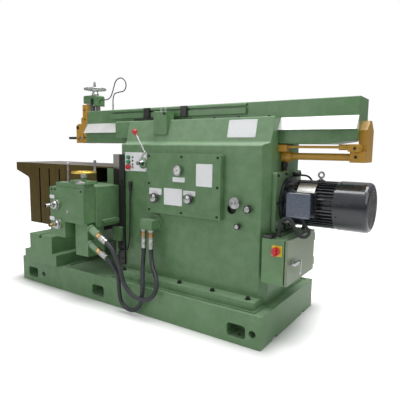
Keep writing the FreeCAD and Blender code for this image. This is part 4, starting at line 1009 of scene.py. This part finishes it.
class SHAPER_OT_head_details(bpy.types.Operator):
    """Mark the swivel's scale and add the wheel's grip, the dial collar and the valve's pins"""
    bl_idname = "shaper.head_details"
    bl_label = "Head and valve details"

    def execute(self, context):
        swivel = spokes([30 + 2 * step for step in range(61)], Y, Z)
        Form().scale((SCREW_X, 0, 1378), X, 106, swivel, 9.0, 5.0, 0.9, 0.2).piece(
            "swivel_marks", "ink_and_hole_shade", "tool_head", "knob_black")
        x, z = CLAPPER_PIVOT
        boss = [(-2, 0), (-2, 40), (3, 40), (5, 38), (5, 31), (2, 29), (2, 24), (6, 22), (8, 18), (8, 0)]
        Form().turned((x, -75, z), NEAR, boss,
                      40).piece("clapper_boss", "ochre_paint", "tool_slide", "ochre_paint")
        pivot = [(-1, 12), (5, 12), (7, 10), (7, 5), (2, 5), (2, 0)]
        Form().turned((x, -83, z), NEAR, pivot,
                      24).piece("clapper_pivot", "chrome", "tool_slide", "bright_steel")
        collar = [(0, 30), (0, 31), (16, 31), (18, 29), (21, 28), (21, 20)]
        Form().turned((SCREW_X, 0, 1661), Z, collar,
                      40).piece("wheel_collar", "zinc", "handwheel", "bright_steel")
        Form().scale((SCREW_X, 0, 1662), Z, 31, spokes(even_turn(40), X, Y), 8.0, 5.0).piece(
            "wheel_marks", "ink_and_hole_shade", "handwheel", "knob_black")
        pins = Form()
        for x in (222, 262):
            pins.turned((x, -196, 1470), Z, [(0, 0), (0, 11, 19), (6, 11, 19), (7, 6), (16, 6), (17, 9),
                                             (22, 9), (24, 6), (24, 0)], 24)
        pins.piece("valve_pins", "zinc", "frame", "bright_steel")
        x, y = FEED_WHEEL
        dial = [(-1, 0), (-1, 66), (12, 66), (14, 64), (14, 52), (20, 50), (20, 0)]
        Form().turned((x, y, 941), Z, dial, 48).piece("feed_dial", "zinc", "cross_rail", "bright_steel")
        body = [(0, 34), (4, 38), (26, 40), (44, 38), (56, 32), (60, 28), (69, 27), (69, 22.5)]
        Form().turned((1130, -60, 1163), X, body,
                      40).piece("gland_body", "ochre_paint", "frame", "ochre_paint")
        port = [(0, 0), (0, 20), (16, 20), (18, 24, 40), (36, 24, 40), (38, 17), (60, 17), (60, 0)]
        Form().turned((1146, -60, 1128), DOWN, port,
                      24).piece("gland_port", "dark_steel", "frame", "black_paint")
        grip = [(0, 5), (0, 8), (4, 9.5), (30, 8.5), (70, 10.5), (80, 10), (84, 6), (84, 0)]
        place = np.array((x, y, 1032)) + spokes([30], X, Y)[0] * 82
        Form().turned(place, Z, grip, 24).piece("feed_grip", "chrome", "feed_wheel", "bright_steel")
        return {"FINISHED"}


class SHAPER_OT_stage(bpy.types.Operator):
    """Set the floor, the light and the camera"""
    bl_idname = "shaper.stage"
    bl_label = "Stage"

    def execute(self, context):
        scene = context.scene
        scene.view_settings.view_transform = "Standard"
        material = bpy.data.materials.new("pale_floor")
        material.use_nodes = True
        tree = Tree(material.node_tree)
        shader = material.node_tree.nodes["Principled BSDF"]
        seen = tree.node("ShaderNodeLightPath").outputs["Is Camera Ray"]
        spread = tree.vector("SUBTRACT", tree.vector("ABSOLUTE", tree.place()), (1.2, 0.456, 0.0))
        away = tree.vector("LENGTH", tree.vector("MAXIMUM", spread))
        tree.feed(shader,
                  {"Base Color": (0.90, 0.90, 0.90, 1), "Roughness": 0.9, "Emission Color": (1, 1, 1, 1),
                           "Emission Strength": tree.math("MULTIPLY", seen,
                                                          tree.ramp(away, 0.0, 0.24, 0.0, 0.75))})
        mesh = bpy.data.meshes.new("floor")
        reach = 40.0
        mesh.from_pydata([(-reach, -reach, 0), (reach, -reach, 0), (reach, reach, 0), (-reach, reach, 0)],
                         [], [(0, 1, 2, 3)])
        mesh.materials.append(material)
        floor = bpy.data.objects.new("floor", mesh)
        bpy.context.collection.objects.link(floor)
        world = scene.world or bpy.data.worlds.new("studio")
        scene.world = world
        world.use_nodes = True
        tree = Tree(world.node_tree)
        world.node_tree.nodes.clear()
        path = tree.node("ShaderNodeLightPath").outputs
        seen = tree.math("MAXIMUM", path["Is Camera Ray"], path["Is Transmission Ray"])
        height = tree.parts(tree.node("ShaderNodeTexCoord").outputs["Generated"])[2]
        glossy = tree.math("MULTIPLY", path["Is Glossy Ray"], tree.ramp(height, 0.05, 0.75, -0.22, 0.25))
        dim = tree.math("ADD", glossy, 0.34)
        strength = tree.math("ADD", tree.math("MULTIPLY", seen, tree.math("SUBTRACT", 1.0, dim)), dim)
        back = tree.node("ShaderNodeBackground", {"Color": (1, 1, 1, 1), "Strength": strength})
        tree.node("ShaderNodeOutputWorld", {"Surface": back.outputs[0]})
        for name, place, aim, size, power in (
                ("key", (0.7, 0.1, 4.9), (0.2, 0.0, 0.6), 3.4, sizes().key_light),
                ("side", (-1.6, -4.6, 2.4), (0.0, -0.3, 0.8), 2.8, 42.0),
                ("rear", (4.6, -0.6, 2.8), (1.2, 0.0, 0.8), 2.4, 26.0)):
            lamp = bpy.data.lights.new(name, "AREA")
            lamp.energy = power
            lamp.size = size
            holder = bpy.data.objects.new(name, lamp)
            away = unit(np.array(place) - np.array(aim))
            side, up = across(away)
            holder.matrix_world = Matrix([[side[k], up[k], away[k],
                                           place[k]] for k in range(3)] + [[0, 0, 0, 1]])
            bpy.context.collection.objects.link(holder)
        yaw, dip, roll = (math.radians(v) for v in (CAMERA_YAW, CAMERA_DIP, CAMERA_ROLL))
        ahead = np.array((-math.sin(yaw) * math.cos(dip), math.cos(yaw) * math.cos(dip), -math.sin(dip)))
        right = np.array((math.cos(yaw), math.sin(yaw), 0.0))
        up = np.cross(right, ahead)
        right, up = (right * math.cos(roll) + up * math.sin(roll),
                     up * math.cos(roll) - right * math.sin(roll))
        lens = bpy.data.cameras.new("camera")
        lens.lens = CAMERA_LENS
        lens.sensor_width = 36.0
        lens.clip_end = 100.0
        camera = bpy.data.objects.new("camera", lens)
        camera.matrix_world = Matrix([[right[k], up[k], -ahead[k],
                                       CAMERA_PLACE[k]] for k in range(3)] + [[0, 0, 0, 1]])
        bpy.context.collection.objects.link(camera)
        scene.camera = camera
        return {"FINISHED"}


OPERATORS = (SHAPER_OT_finishes, SHAPER_OT_stage, SHAPER_OT_hoses, SHAPER_OT_hose_fittings, SHAPER_OT_plates,
             SHAPER_OT_gauge, SHAPER_OT_controls, SHAPER_OT_screws, SHAPER_OT_electrics,
             SHAPER_OT_head_details)


class SHAPER_PT_panel(bpy.types.Panel):
    """Buttons that dress the shaping machine"""
    bl_idname = "SHAPER_PT_panel"
    bl_label = "Shaper"
    bl_space_type = "VIEW_3D"
    bl_region_type = "UI"
    bl_category = "Shaper"

    def draw(self, context):
        for group in (context.scene.shaper_colours, context.scene.shaper_sizes):
            for name in group.__annotations__:
                self.layout.prop(group, name)
        for operator in OPERATORS:
            self.layout.operator(operator.bl_idname)


CLASSES = (ShaperColours, ShaperSizes) + OPERATORS + (SHAPER_PT_panel,)


def register():
    for item in CLASSES:
        bpy.utils.register_class(item)
    bpy.types.Scene.shaper_colours = bpy.props.PointerProperty(type=ShaperColours)
    bpy.types.Scene.shaper_sizes = bpy.props.PointerProperty(type=ShaperSizes)


def unregister():
    del bpy.types.Scene.shaper_sizes
    del bpy.types.Scene.shaper_colours
    for item in reversed(CLASSES):
        bpy.utils.unregister_class(item)


def main():
    register()
    for operator in OPERATORS:
        family, name = operator.bl_idname.split(".")
        getattr(getattr(bpy.ops, family), name)()


if __name__ == "__main__":
    main()
